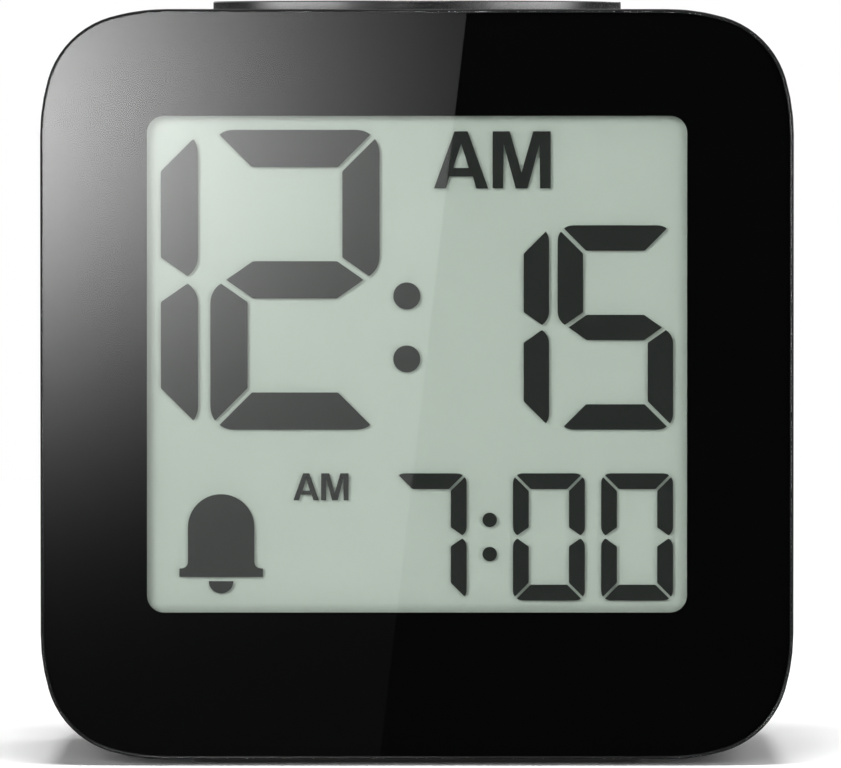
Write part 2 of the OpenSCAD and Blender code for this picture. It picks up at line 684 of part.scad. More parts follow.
// A round hole through the rear cover with its outer edge broken.
module rear_hole(r, x, z) {
  rod_y(r, [x, cover_y - 1, z], cover_t + 2);
  rear_lead_in(r, x, z);
}
module rear_lead_in(r, x, z) translate([x, back_y - edge_break, z]) rotate([-90, 0, 0])
  cylinder(r1 = r, r2 = r + 2 * edge_break, h = 2 * edge_break);

module grille_holes() for (n = [0:grille_rings], i = [0:max(6 * n, 1) - 1])
  let (a = 360 * i / max(6 * n, 1))
    rear_hole(grille_r, n * grille_pitch * cos(a), speaker_z + n * grille_pitch * sin(a));

module cover_solid() {
  slab(wall + fit, cover_y, back_y, 0, edge_break);
  box([-bay_hw - bay_t, bay_y - bay_t, bay_z0 - bay_t], [bay_hw + bay_t, cover_y + 0.5, bay_z1 + bay_t]);
  rod_y(speaker_r + fit + seat_wall, [0, cover_y - seat_l, speaker_z], seat_l + 0.5);
  both_sides() {
    rod_y(key_boss[1], [key_boss[0], key_board_back_y, speaker_z], cover_y - key_board_back_y + 0.5);
    box([hook.x - hook.y / 2, cover_y - 2, ceiling_z - fit - 1.4], [hook.x + hook.y / 2, cover_y + 0.5, ceiling_z - fit - 0.2]);
    box([hook.x - hook.y / 2, cover_y - 2, ceiling_z - fit - 1.4],
      [hook.x + hook.y / 2, cover_y - 2 + hook.z, ceiling_z + hook[3]]);
  }
}

module rear_cover() color(case_black) difference() {
  cover_solid();
  box([-bay_hw, bay_y, bay_z0], [bay_hw, cover_y, bay_z1]);
  box([-open_hw, cover_y - 1, bay_z0], [open_hw, back_y + 1, bay_z1]);
  box([-door_hw - fit, door_in_y, bay_z0 - door_lap], [door_hw + fit, back_y + 1, bay_z1 + door_lap]);
  box([-door_hw - fit, cover_y, bay_z0 - door_lap], [door_hw + fit, back_y + 1, hinge_z + hinge_r + 2 * fit]);
  rod_x(pin_r + play, [-door_hw - pin_l - fit, hinge_y, hinge_z], 2 * (door_hw + pin_l + fit));
  rod_y(speaker_r + fit, [0, cover_y - seat_l - 1, speaker_z], seat_l + 1);
  grille_holes();
  for (p = [[-key_x, key_high_z], [-key_x, key_low_z], [key_x, key_high_z]])
    rear_hole(key_d / 2 + key_gap, p.x, p.y);
  box([key_x - (slider[0] + slider_travel) / 2 - key_gap, cover_y - 1, key_low_z - slider[1] / 2 - key_gap],
    [key_x + (slider[0] + slider_travel) / 2 + key_gap, back_y + 1, key_low_z + slider[1] / 2 + key_gap]);
  both_sides() {
    rod_y(case_screw_d / 2 + 0.25, [post_x, cover_y - 1, post_z], cover_t + 2);
    rod_y(case_head_r + 0.2, [post_x, back_y - head_t - seat, post_z], 2);
    rear_lead_in(case_head_r + 0.2, post_x, post_z);
    rod_y(board_screw_d / 2 + play, [key_boss[0], key_board_back_y - 1, speaker_z], key_screw_l + 1);
  }
  for (y = [positive_tail_y, negative_tail_y])
    box([-bay_hw - seat, y - tail_w / 2 - seat, bay_z1 - 0.5],
      [-bay_hw + plate_t + seat, y + tail_w / 2 + seat, bay_z1 + bay_t + 1]);
  translate([0, back_y + notch_r - notch_depth, bay_z1 + door_lap]) sphere(notch_r);
}

module case_screws() color(steel) both_sides() translate([post_x, back_y - head_t - seat, post_z])
  screw(case_screw_d / 2, case_head_r, case_screw_l);

// The door in section, seen along X: round at the hinge, its outer upper edge eased.
module door_section() {
  ease = 2 * edge_break;
  translate([hinge_y, hinge_z]) circle(hinge_r);
  translate([door_in_y, hinge_z]) square([door_t, door_z1 - hinge_z - ease]);
  translate([door_in_y, hinge_z]) square([door_t - ease, door_z1 - hinge_z]);
  intersection() {
    translate([back_y - ease, door_z1 - ease]) circle(ease);
    translate([back_y - ease, door_z1 - ease]) square(ease);
  }
}

module battery_door() color(case_black) {
  difference() {
    rotate([90, 0, 90]) linear_extrude(2 * door_hw, center = true) door_section();
    for (i = [0:grip_count - 1]) box([-grip_l / 2, back_y - grip_depth, door_z1 - 3.2 - i * 1.6],
      [grip_l / 2, back_y + 1, door_z1 - 2.5 - i * 1.6]);
  }
  rod_x(pin_r, [-door_hw - pin_l, hinge_y, hinge_z], 2 * (door_hw + pin_l));
}

// A cell along +X, its flat end at the origin.
module cell() rotate([0, 90, 0]) rotate_extrude() polygon([[0, 0], [cell_r - 0.4, 0], [cell_r, 0.4],
  [cell_r, cell_l - 1.4], [cell_r - 0.4, cell_l - 1], [1.9, cell_l - 1], [1.9, cell_l], [0, cell_l]]);
module cell_lower() color([0.25, 0.25, 0.28]) translate([bay_hw - plate_t - cell_l, cell_y, cell_low_z]) cell();
module cell_upper() color([0.25, 0.25, 0.28]) translate([-bay_hw + plate_t + cell_l, cell_y, cell_high_z])
  mirror([1, 0, 0]) cell();

contact_y = [bay_y + 0.3, cover_y - 0.5];
bay_mid_z = (bay_z0 + bay_z1) / 2;
module contact_bridge() color(steel)
  box([bay_hw - plate_t, contact_y[0], bay_z0 + 0.4], [bay_hw, contact_y[1], bay_z1 - 0.4]);
module contact_positive() color(steel) {
  box([-bay_hw, negative_tail_y + tail_w, bay_mid_z + 0.4], [-bay_hw + plate_t, contact_y[1], bay_z1 - 0.4]);
  box([-bay_hw, positive_tail_y - tail_w / 2, bay_z1 - 1], [-bay_hw + plate_t, positive_tail_y + tail_w / 2, tail_z]);
}
module contact_negative() color(steel) {
  box([-bay_hw, contact_y[0], bay_z0 + 0.4], [-bay_hw + plate_t, contact_y[1], bay_mid_z - 0.4]);
  box([-bay_hw, negative_tail_y - tail_w / 2, bay_z0 + 1], [-bay_hw + plate_t, negative_tail_y + tail_w / 2, tail_z]);
}

module cell_spring(name) coil(cell_spring_r, cell_wire, 2, cell_spring_l, name);
module spring_lower() color(steel) translate([-bay_hw + plate_t, cell_y, cell_low_z]) rotate([0, 90, 0])
  cell_spring("spring_lower");
module spring_upper() color(steel) translate([bay_hw - plate_t, cell_y, cell_high_z]) rotate([0, -90, 0])
  cell_spring("spring_upper");

module positive_lead() color([0.7, 0.12, 0.1]) translate([-bay_hw + plate_t / 2, positive_tail_y, tail_z])
  mirror([0, 1, 0]) bent_wire(1.8, 0);
module negative_lead() color([0.12, 0.12, 0.12]) translate([-bay_hw + plate_t / 2, negative_tail_y, tail_z])
  bent_wire(1.8, key_board_y - negative_tail_y - wire_bend);

module key_board() color(board_green) difference() {
  box([-key_board_hw, key_board_y, speaker_z - key_board_low], [key_board_hw, key_board_back_y, speaker_z + key_board_high]);
  both_sides() rod_y(board_screw_d / 2 + 0.2, [key_boss[0], key_board_y - 1, speaker_z], board_t + 2);
}
module key_screws() color(steel) both_sides() translate([key_boss[0], key_board_y, speaker_z])
  rotate([0, 0, 180]) screw(board_screw_d / 2, board_head_r, key_screw_l);

// A push switch on a board: body, then the plunger that slides in it, both up Z.
module push_switch() difference() {
  translate([-switch_w / 2, -switch_w / 2, 0]) cube([switch_w, switch_w, switch_h]);
  rod_z(plunger_r + play, [0, 0, switch_floor], switch_h);
}
module plunger(travel, out) {
  low = switch_floor + travel + 0.3;
  rod_z(plunger_r, [0, 0, low], switch_h + out - low);
}

// A round key up Z, the end of its stem at the origin.
module key_cap() rotate_extrude() {
  r = key_d / 2;
  top = stem_l + flange_t + seat + cover_t + key_proud;
  square([plunger_r, stem_l + 0.2]);
  translate([0, stem_l]) square([r + 0.8, flange_t]);
  translate([0, stem_l]) square([r, top - stem_l - 0.4]);
  square([r - 0.4, top]);
  intersection() {
    translate([r - 0.4, top - 0.4]) circle(0.4);
    translate([r - 0.4, top - 0.4]) square(0.4);
  }
}

module on_key_board(x, z) translate([x, key_board_back_y, z]) rotate([-90, 0, 0]) children();
module on_plunger(x, z) translate([x, key_y, z]) rotate([-90, 0, 0]) children();
module hour_switch() color([0.15, 0.15, 0.15]) on_key_board(-key_x, key_high_z) push_switch();
module hour_plunger() color([0.3, 0.3, 0.3]) on_key_board(-key_x, key_high_z) plunger(key_travel, key_out);
module hour_button() color(key_grey) on_plunger(-key_x, key_high_z) key_cap();
module minute_switch() color([0.15, 0.15, 0.15]) on_key_board(-key_x, key_low_z) push_switch();
module minute_plunger() color([0.3, 0.3, 0.3]) on_key_board(-key_x, key_low_z) plunger(key_travel, key_out);
module minute_button() color(key_grey) on_plunger(-key_x, key_low_z) key_cap();
module set_switch() color([0.15, 0.15, 0.15]) on_key_board(key_x, key_high_z) push_switch();
module set_plunger() color([0.3, 0.3, 0.3]) on_key_board(key_x, key_high_z) plunger(key_travel, key_out);
module set_button() color(key_grey) on_plunger(key_x, key_high_z) key_cap();

module alarm_switch() color(steel) translate([key_x, key_board_back_y, key_low_z]) difference() {
  box([-slide_switch.x / 2, 0, -slide_switch.z / 2], [slide_switch.x / 2, slide_switch.y, slide_switch.z / 2]);
  box([-(slide_pin + slider_travel) / 2 - 0.3, 2.3, -slide_pin / 2 - fit],
    [(slide_pin + slider_travel) / 2 + 0.3, slide_switch.y + 1, slide_pin / 2 + fit]);
}

module alarm_slider() color([0.75, 0.76, 0.74]) translate([key_x - slider_travel / 2, 0, key_low_z]) {
  top = cover_y - seat;
  box([-slide_pin / 2, key_board_back_y + 2.6, -slide_pin / 2], [slide_pin / 2, top - 0.2, slide_pin / 2]);
  box([-slider[2] / 2, top - slider[4], -slider[3] / 2], [slider[2] / 2, top, slider[3] / 2]);
  difference() {
    box([-slider[0] / 2, top - 0.2, -slider[1] / 2], [slider[0] / 2, back_y + slider_proud, slider[1] / 2]);
    for (i = [-1:1]) box([i * 1.1 - 0.25, back_y + slider_proud - 0.3, -slider[1]],
      [i * 1.1 + 0.25, back_y + slider_proud + 1, slider[1]]);
  }
}

module on_speaker() translate([0, 0, speaker_z]) rotate([-90, 0, 0]) children();
module ring(r0, r1, y0, y1) on_speaker() rotate_extrude() translate([r0, y0]) square([r1 - r0, y1 - y0]);

module speaker_gasket() color([0.12, 0.12, 0.12]) ring(speaker_r - 1.2, speaker_r, speaker_front_y, cover_y);
module speaker_frame() color(steel) on_speaker() rotate_extrude() polygon([
  [speaker_r - 1.6, speaker_front_y], [speaker_r, speaker_front_y], [speaker_r, speaker_front_y - basket_t],
  [speaker_r - 1.1, speaker_front_y - basket_t], [0.6 * speaker_r, basket_y], [0.34 * speaker_r, basket_y],
  [0.34 * speaker_r, basket_y + basket_t], [0.6 * speaker_r - 0.3, basket_y + basket_t],
  [speaker_r - 1.6, speaker_front_y - 0.2]]);

// The cone: a flat rim on the frame, a straight flare and a domed dust cap.
module speaker_cone() color([0.2, 0.2, 0.21]) on_speaker() rotate_extrude() {
  rim = speaker_r - 1.25;
  cap_r = 0.3 * speaker_r;
  low = basket_y + basket_t + 0.5;
  front = concat([for (a = [0:15:90]) [cap_r * sin(a), low + 0.9 * cos(a)]],
    [[rim - 0.8, speaker_front_y], [rim - 0.35, speaker_front_y], [rim, speaker_front_y]]);
  polygon(concat([for (p = front) p + [0, 0.2]], [for (i = [len(front) - 1:-1:0]) front[i]]));
}
module speaker_magnet() color([0.3, 0.3, 0.32]) rod_y(speaker_r / 2, [0, magnet_y, speaker_z], magnet_t);
module speaker_pad() color([0.2, 0.2, 0.2]) rod_y(speaker_r * 0.4, [0, key_board_back_y, speaker_z], pad_t);

module top_button() color(key_grey) translate([0, button_y, 0]) {
  dish_r = ((button_r - 1.2) ^ 2 + button_dish ^ 2) / (2 * button_dish);
  rotate_extrude() difference() {
    union() {
      edge_profile(button_r, button_under, button_top, 0, button_edge);
      translate([button_r - skirt_t, skirt_z]) square([skirt_t, button_under - skirt_z + 0.2]);
      translate([0, top_key_z]) square([2, button_under - top_key_z + 0.2]);
    }
    translate([0, button_top - button_dish + dish_r]) circle(dish_r, $fn = 720);
  }
  for (a = [45:90:315]) rotate([0, 0, a])
    box([button_r - skirt_t + 0.3, -tab.y / 2, ceiling_z - seat - tab.z], [button_r + tab.x, tab.y / 2, ceiling_z - seat]);
  both_sides() rod_z(peg_r, [spring_x, 0, button_under - peg_l], peg_l + 0.2);
}

module top_switch_board() color(board_green) difference() {
  box([-hanger_x - 2.5, button_y - top_board_w / 2, top_board_z - board_t],
    [hanger_x + 2.5, button_y + top_board_w / 2, top_board_z]);
  both_sides() rod_z(board_screw_d / 2 + 0.2, [hanger_x, button_y, top_board_z - board_t - 1], board_t + 2);
}
module top_switch() color([0.15, 0.15, 0.15]) translate([0, button_y, top_board_z]) push_switch();
module top_plunger() color([0.3, 0.3, 0.3]) translate([0, button_y, top_board_z]) plunger(button_travel, top_out);
module button_spring(x, name) translate([x, button_y, top_board_z])
  coil(spring_r, button_wire, button_turns, button_under - top_board_z, name);
module top_spring_left() color(steel) button_spring(-spring_x, "top_spring_left");
module top_spring_right() color(steel) button_spring(spring_x, "top_spring_right");

module switch_leads() color([0.8, 0.75, 0.7]) for (x = [-2, 2])
  translate([x, button_y + 3, top_board_z - board_t]) mirror([0, 0, 1])
    bent_wire(2.5, key_board_y - button_y - 3 - wire_bend);
module top_board_screws() color(steel) both_sides() translate([hanger_x, button_y, top_board_z - board_t])
  rotate([-90, 0, 0]) screw(board_screw_d / 2, board_head_r, top_screw_l);

main_case();
front_lens();
lens_mask();
front_foot();
rear_foot();
lcd_front_glass();
lcd_segments();
lcd_seal();
lcd_rear_glass();
lcd_reflector();
light_guide();
backlight_leds();
zebra_top();
zebra_bottom();
lcd_holder();
main_board();
chip_blob();
crystal_can();
capacitor();
board_screws();
ribbon_cable();
rear_cover();
case_screws();
battery_door();
cell_lower();
cell_upper();
contact_bridge();
contact_positive();
contact_negative();
spring_lower();
spring_upper();
positive_lead();
negative_lead();
key_board();
key_screws();
hour_switch();
hour_plunger();
hour_button();
minute_switch();
minute_plunger();
minute_button();
set_switch();
set_plunger();
set_button();
alarm_switch();
alarm_slider();
speaker_gasket();
speaker_frame();
speaker_cone();
speaker_magnet();
speaker_pad();
top_button();
top_switch_board();
top_switch();
top_plunger();
top_spring_left();
top_spring_right();
switch_leads();
top_board_screws();
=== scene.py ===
import math

import bmesh
import bpy
from mathutils import Matrix, Vector


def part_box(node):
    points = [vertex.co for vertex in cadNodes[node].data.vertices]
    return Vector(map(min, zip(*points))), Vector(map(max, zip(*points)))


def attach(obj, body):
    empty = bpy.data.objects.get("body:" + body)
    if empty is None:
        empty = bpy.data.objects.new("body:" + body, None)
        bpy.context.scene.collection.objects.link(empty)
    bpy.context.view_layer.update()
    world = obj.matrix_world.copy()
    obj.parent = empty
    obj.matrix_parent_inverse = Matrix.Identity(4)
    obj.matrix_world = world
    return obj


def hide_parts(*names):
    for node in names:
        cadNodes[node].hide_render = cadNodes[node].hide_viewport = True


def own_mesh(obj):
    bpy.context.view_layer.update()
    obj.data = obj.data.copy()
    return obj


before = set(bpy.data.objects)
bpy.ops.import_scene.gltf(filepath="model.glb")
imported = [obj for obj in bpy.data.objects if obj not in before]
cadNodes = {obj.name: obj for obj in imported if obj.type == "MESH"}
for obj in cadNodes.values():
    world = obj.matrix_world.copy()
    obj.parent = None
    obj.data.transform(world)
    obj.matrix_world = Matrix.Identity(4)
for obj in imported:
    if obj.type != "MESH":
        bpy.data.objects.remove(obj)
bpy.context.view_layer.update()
scene = bpy.context.scene
scene.view_settings.view_transform = "Standard"
scene.cycles.transparent_max_bounces = 32  # several clear panes lie one behind another
mm = 0.001
quarter = math.pi / 2
print("frame loaded,", len(cadNodes), "nodes")


# a shader socket that takes part in plain sums
class Wired:
    def __init__(self, finish, socket):
        self.finish = finish
        self.socket = socket

    def sum(self, operation, first, second=0.0):
        return self.finish.node("ShaderNodeMath", {"operation": operation}, {0: first, 1: second})

    def __add__(self, other):
        return self.sum("ADD", self, other)

    __radd__ = __add__

    def __sub__(self, other):
        return self.sum("SUBTRACT", self, other)

    def __rsub__(self, other):
        return self.sum("SUBTRACT", other, self)

    def __mul__(self, other):
        return self.sum("MULTIPLY", self, other)

    __rmul__ = __mul__

    def __truediv__(self, other):
        return self.sum("DIVIDE", self, other)

    def __rtruediv__(self, other):
        return self.sum("DIVIDE", other, self)

    def __mod__(self, other):
        return self.sum("FLOORED_MODULO", self, other)

    def __pow__(self, other):
        return self.sum("POWER", self, other)

    def __rpow__(self, other):
        return self.sum("POWER", other, self)

    def __gt__(self, other):
        return self.sum("GREATER_THAN", self, other)

    def __lt__(self, other):
        return self.sum("LESS_THAN", self, other)

    def __abs__(self):
        return self.sum("ABSOLUTE", self)


# one node tree, of a material or of the world
class Finish:
    def __init__(self, name, world=False):
        self.data = (bpy.data.worlds if world else bpy.data.materials).new(name)
        self.data.use_nodes = True
        self.tree = self.data.node_tree
        self.tree.nodes.clear()
        self.outKind = "ShaderNodeOutputWorld" if world else "ShaderNodeOutputMaterial"

    def node(self, kind, settings=None, sockets=None, out=0):
        made = self.tree.nodes.new(kind)
        for key, value in (settings or {}).items():
            setattr(made, key, value)
        for key, value in (sockets or {}).items():
            if isinstance(value, Wired):
                self.tree.links.new(value.socket, made.inputs[key])
            else:
                made.inputs[key].default_value = value
        return Wired(self, made.outputs[out]) if made.outputs else None

    def place(self, centre=(0, 0, 0), scale=(1, 1, 1)):
        spot = self.node("ShaderNodeTexCoord", out="Object")
        return self.node("ShaderNodeMapping", {"vector_type": "TEXTURE"},
                         {"Vector": spot, "Location": centre, "Scale": scale})

    def axes(self, vector):
        return [self.node("ShaderNodeSeparateXYZ", {}, {0: vector}, k) for k in range(3)]

    def grain(self, size, detail=2.0, stretch=(1, 1, 1)):
        return self.node("ShaderNodeTexNoise", {"normalize": True},
                         {"Vector": self.place(scale=stretch), "Scale": 1 / size, "Detail": detail,
                          "Roughness": 0.55})

    def between(self, value, low, high, toLow=0.0, toHigh=1.0):
        return self.node("ShaderNodeMapRange", {"interpolation_type": "SMOOTHSTEP", "clamp": True},
                         {0: value, 1: low, 2: high, 3: toLow, 4: toHigh})

    def mix(self, share, first, second):
        return self.node("ShaderNodeMix", {"data_type": "RGBA", "clamp_factor": True},
                         {0: share, 6: colour(first), 7: colour(second)}, 2)

    def bump(self, height, depth):
        return self.node("ShaderNodeBump", {}, {"Strength": 1.0, "Distance": depth, "Height": height})

    def clear(self, tint):
        return self.node("ShaderNodeBsdfTransparent", {}, {0: colour(tint)})

    def glow(self, strength):
        return self.node("ShaderNodeEmission", {}, {"Color": (1, 1, 1, 1), "Strength": strength})

    def ray(self, kind):
        return self.node("ShaderNodeLightPath", out=kind)

    def facing(self):  # 0 seen straight on, 1 along the surface
        return self.node("ShaderNodeLayerWeight", {}, {"Blend": 0.5}, "Facing")

    def larger(self, first, second):
        return self.node("ShaderNodeMath", {"operation": "MAXIMUM"}, {0: first, 1: second})

    def blend(self, share, first, second):
        return self.node("ShaderNodeMixShader", {}, {0: share, 1: first, 2: second})

    def body(self, sockets):
        return self.node("ShaderNodeBsdfPrincipled", {}, sockets)

    def close(self, shader):
        self.node(self.outKind, {}, {"Surface": shader})
        return self.data


def colour(value):
    return value if isinstance(value, Wired) or len(value) == 4 else (*value, 1)


def shade(value, by):
    return tuple(min(1, part * by) for part in value)


# moulded plastic or rubber: fine skin, slow colour drift, worn sheen
plastic = {"slow": 9, "fineShare": 0.4, "fineSheen": 0.16, "slowSheen": 0.12, "coatRough": 0.25}


def moulded(name, tone, rough, skin=0.16, depth=0.012, drift=0.12, coat=0.0, shine=0.5):
    f = Finish(name)
    p = plastic
    fine = f.grain(skin * mm, 3)
    slow = f.grain(p["slow"] * mm, 3)
    share = (1 - p["fineShare"]) * slow + p["fineShare"] * fine
    return f.close(f.body({
        "Base Color": f.mix(share, shade(tone, 1 - drift), shade(tone, 1 + drift)),
        "Roughness": rough + (fine - 0.5) * p["fineSheen"] + (slow - 0.5) * p["slowSheen"],
        "Coat Weight": coat, "Coat Roughness": p["coatRough"], "Specular IOR Level": shine,
        "Normal": f.bump(fine, depth * mm)}))


# drawn or plated metal: fine scratches along one axis and dull patches
plate = {"scratch": 0.12, "stain": 2.5, "scratchSheen": 0.2, "stainSheen": 0.14, "depth": 0.002}


def metal(name, tone, rough, along=(1, 1, 1), patch=0.15):
    f = Finish(name)
    p = plate
    lines = f.grain(p["scratch"] * mm, 3, along)
    stain = f.grain(p["stain"] * mm, 3)
    return f.close(f.body({
        "Base Color": f.mix(stain, shade(tone, 1 - patch), shade(tone, 1 + 0.5 * patch)), "Metallic": 1.0,
        "Roughness": rough + (lines - 0.5) * p["scratchSheen"] + (stain - 0.5) * p["stainSheen"],
        "Normal": f.bump(lines, p["depth"] * mm)}))


# lens of clear acrylic; lamps shine through it, and light from far aside mostly glances off
acrylic = {"tint": (0.985, 0.99, 0.985), "index": 1.49, "haze": 6, "hazeAt": (0.6, 0.9), "hazeRough": 0.012,
           "straight": (0.98, 0.985, 0.98), "aside": (0.15, 0.15, 0.15), "asideAt": (0.2, 0.5)}


def clearLens(p):
    f = Finish("clearLens")
    haze = f.grain(p["haze"] * mm, 3)
    glass = f.body({"Base Color": colour(p["tint"]), "Transmission Weight": 1.0, "IOR": p["index"],
                    "Roughness": f.between(haze, *p["hazeAt"], 0.0, p["hazeRough"])})
    through = f.blend(f.between(f.facing(), *p["asideAt"]), f.clear(p["straight"]), f.clear(p["aside"]))
    shadowRay, diffuseRay = f.ray("Is Shadow Ray"), f.ray("Is Diffuse Ray")
    return f.close(f.blend(shadowRay, f.blend(diffuseRay, glass, through), through))


# LCD glass with its film: open, with a faint uneven gleam that grows at a slant
film = {"speck": 0.06, "rough": 0.015, "straight": 0.04, "uneven": 0.3}


def filmGlass(name, tint, gleam):
    f = Finish(name)
    p = film
    speck = f.grain(p["speck"] * mm, 2)
    mirror = f.node("ShaderNodeBsdfGlossy", {}, {"Color": (1, 1, 1, 1), "Roughness": p["rough"]})
    slant = p["straight"] + (1 - p["straight"]) * f.facing() ** 5  # alike from both sides of a face
    share = gleam * slant * (1 - p["uneven"] / 2 + p["uneven"] * speck)
    return f.close(f.blend(share, f.clear(tint), mirror))


# reflector foil behind the LCD: grey green with a fine grain, and painted shade at the window's lower end
foil = {"dark": (0.54, 0.60, 0.545), "pale": (0.65, 0.715, 0.655),
        "speck": 0.09, "cloud": 5, "cloudShare": 0.1, "windowLow": 12.15, "shadeReach": 0.75, "shade": 0.28,
        "rough": 0.62, "depth": 0.006}


def greyFoil(p):
    f = Finish("greyFoil")
    x, y, z = f.axes(f.place())
    speck = f.grain(p["speck"] * mm, 3)
    cloud = f.grain(p["cloud"] * mm, 2)
    share = f.between((1 - p["cloudShare"]) * speck + p["cloudShare"] * cloud, 0.3, 0.7)
    low = p["windowLow"] * mm
    # painted shade: the foil darkens towards black just above the window's lower edge, standing in for a
    # shadow there
    paintedShade = f.between(z, low, low + p["shadeReach"] * mm, p["shade"], 0.0)
    return f.close(f.body({
        "Base Color": f.mix(paintedShade, f.mix(share, p["dark"], p["pale"]), (0.0, 0.0, 0.0)),
        "Roughness": p["rough"] + (speck - 0.5) * 0.2, "Specular IOR Level": 0.3,
        "Normal": f.bump(speck, p["depth"] * mm)}))


# dark liquid crystal, a little uneven
def darkSegment():
    f = Finish("darkSegment")
    speck = f.grain(0.09 * mm, 3)
    base = f.mix(speck, (0.022, 0.025, 0.023), (0.040, 0.044, 0.041))
    return f.close(f.body({"Base Color": base, "Roughness": 0.5 + (speck - 0.5) * 0.2,
                           "Specular IOR Level": 0.0}))


# circuit board: lacquer over copper tracks, tinned pads
boardLook = {"block": 3.2, "trackPitch": 0.9, "track": 0.2, "padPitch": 2.3, "pad": 0.17, "padBlocks": 0.35,
             "weave": 0.3, "lacquer": (0.016, 0.085, 0.035), "overTrack": (0.03, 0.15, 0.06),
             "fibre": (0.02, 0.06, 0.03), "tin": (0.62, 0.6, 0.56), "depth": 0.03}


def circuitBoard(name, flat):
    f = Finish(name)
    p = boardLook
    x, y, z = f.axes(f.place())
    down = y if flat else z
    spot = f.node("ShaderNodeCombineXYZ", {}, {0: x, 1: down})
    block = f.node("ShaderNodeTexVoronoi",
                   {"feature": "F1", "distance": "CHEBYCHEV", "voronoi_dimensions": "2D"},
                   {"Vector": spot, "Scale": 1 / (p["block"] * mm)}, "Color")
    pick = f.node("ShaderNodeSeparateColor", {}, {0: block}, 0)
    across, along = [abs((way / (p["trackPitch"] * mm)) % 1.0 - 0.5) for way in (x, down)]
    tracks = (pick > 0.5) * (across < p["track"]) + (pick < 0.5) * (along < p["track"])
    dots = f.node("ShaderNodeTexVoronoi", {"voronoi_dimensions": "2D"},
                  {"Vector": spot, "Scale": 1 / (p["padPitch"] * mm), "Randomness": 0.7})
    pads = (dots < p["pad"]) * (pick > p["padBlocks"])
    weave = f.grain(p["weave"] * mm, 2)
    lacquer = f.mix(tracks, p["lacquer"], p["overTrack"])
    return f.close(f.body({
        "Base Color": f.mix(pads, f.mix(0.5 * weave, lacquer, p["fibre"]), p["tin"]),
        "Metallic": 0.9 * pads, "Roughness": 0.34 + 0.12 * (weave - 0.5),
        "Normal": f.bump(tracks + 0.6 * pads + 0.2 * weave, p["depth"] * mm)}))


# contact strip: thin dark and pale layers side by side
def layeredStrip(layerPitch=0.1, corePitch=1.0):
    f = Finish("layeredStrip")
    x, y, z = f.axes(f.place())
    layer = ((x / (layerPitch * mm)) % 1.0) > 0.5
    core = abs((y / (corePitch * mm)) % 1.0 - 0.5)
    base = f.mix(layer, (0.3, 0.31, 0.3), f.mix(core, (0.03, 0.03, 0.03), (0.06, 0.055, 0.05)))
    return f.close(f.body({"Base Color": base, "Roughness": 0.7 + 0.1 * layer,
                           "Normal": f.bump(layer, 0.01 * mm)}))


# plain cell wrapper, measured from the raised end: pale band, thin line, dark field; both ends bare
wrapper = {"band": 10.4, "line": (11.2, 11.9), "bareTip": 1.6, "bareRear": 43.75,
           "fields": ((0.02, 0.05, 0.075), (0.03, 0.066, 0.095)),
           "bands": ((0.52, 0.53, 0.54), (0.62, 0.63, 0.64)), "metal": (0.7, 0.69, 0.67)}


def cellWrapper(name, tip, way):
    f = Finish(name)
    p = wrapper
    x, y, z = f.axes(f.place())
    back = (tip - x) * way / mm
    fine = f.grain(0.5 * mm, 3)
    slow = f.grain(8 * mm, 2)
    lineFrom, lineTo = p["line"]
    line = (back > lineFrom) * (back < lineTo)
    printed = f.mix((back < p["band"]) + line, f.mix(slow, *p["fields"]), f.mix(slow, *p["bands"]))
    bare = (back < p["bareTip"]) + (back > p["bareRear"])
    return f.close(f.body({
        "Base Color": f.mix(bare, printed, p["metal"]), "Metallic": 0.95 * bare,
        "Roughness": 0.3 + 0.1 * (fine - 0.5) + 0.06 * bare,
        "Coat Weight": 0.4 * (1 - bare), "Coat Roughness": 0.1, "Normal": f.bump(fine, 0.004 * mm)}))


# open foam
def foam(poreSize=0.35):
    f = Finish("foam")
    pore = f.node("ShaderNodeTexVoronoi", {"feature": "F1"},
                  {"Vector": f.place(), "Scale": 1 / (poreSize * mm)})
    fine = f.grain(0.2 * mm, 3)
    base = f.mix(f.between(pore, 0.1, 0.6), (0.006, 0.006, 0.006), (0.035, 0.035, 0.036))
    return f.close(f.body({"Base Color": base, "Roughness": 0.92 + (fine - 0.5) * 0.1,
                           "Normal": f.bump(pore + 0.3 * fine, 0.08 * mm)}))


# flat cable: a dark furrow between its strands, the first strand red
def flatCable(low, high, strands):
    f = Finish("flatCable")
    x, y, z = f.axes(f.place())
    pitch = (high.x - low.x) / strands
    furrow = abs((x / pitch) % 1.0 - 0.5)
    fine = f.grain(0.25 * mm, 2)
    grey = f.mix(f.between(furrow, 0.36, 0.5), (0.44, 0.44, 0.42), (0.26, 0.26, 0.25))
    base = f.mix(x < low.x + pitch, grey, (0.45, 0.05, 0.04))
    return f.close(f.body({"Base Color": base, "Roughness": 0.42 + 0.15 * (fine - 0.5),
                           "Normal": f.bump(fine, 0.008 * mm)}))


# white lamp body with its yellow window at the end towards the light guide
def ledBody(low, windowDepth=0.2):
    f = Finish("ledBody")
    x, y, z = f.axes(f.place())
    fine = f.grain(0.15 * mm, 2)
    base = f.mix(x < low.x + windowDepth * mm, (0.75, 0.75, 0.73), (0.8, 0.62, 0.08))
    return f.close(f.body({"Base Color": base, "Roughness": 0.4 + 0.2 * (fine - 0.5)}))


# light guide: pale acrylic with a field of frosted dots
def dottedGuide(pitch=0.8, dotSquared=0.06):
    f = Finish("dottedGuide")
    x, y, z = f.axes(f.place())
    dx, dz = [(way / (pitch * mm)) % 1.0 - 0.5 for way in (x, z)]
    dot = (dx * dx + dz * dz) < dotSquared
    base = f.mix(dot, (0.72, 0.76, 0.75), (0.9, 0.91, 0.9))
    return f.close(f.body({"Base Color": base, "Roughness": 0.12 + 0.5 * dot, "Coat Weight": 0.5}))


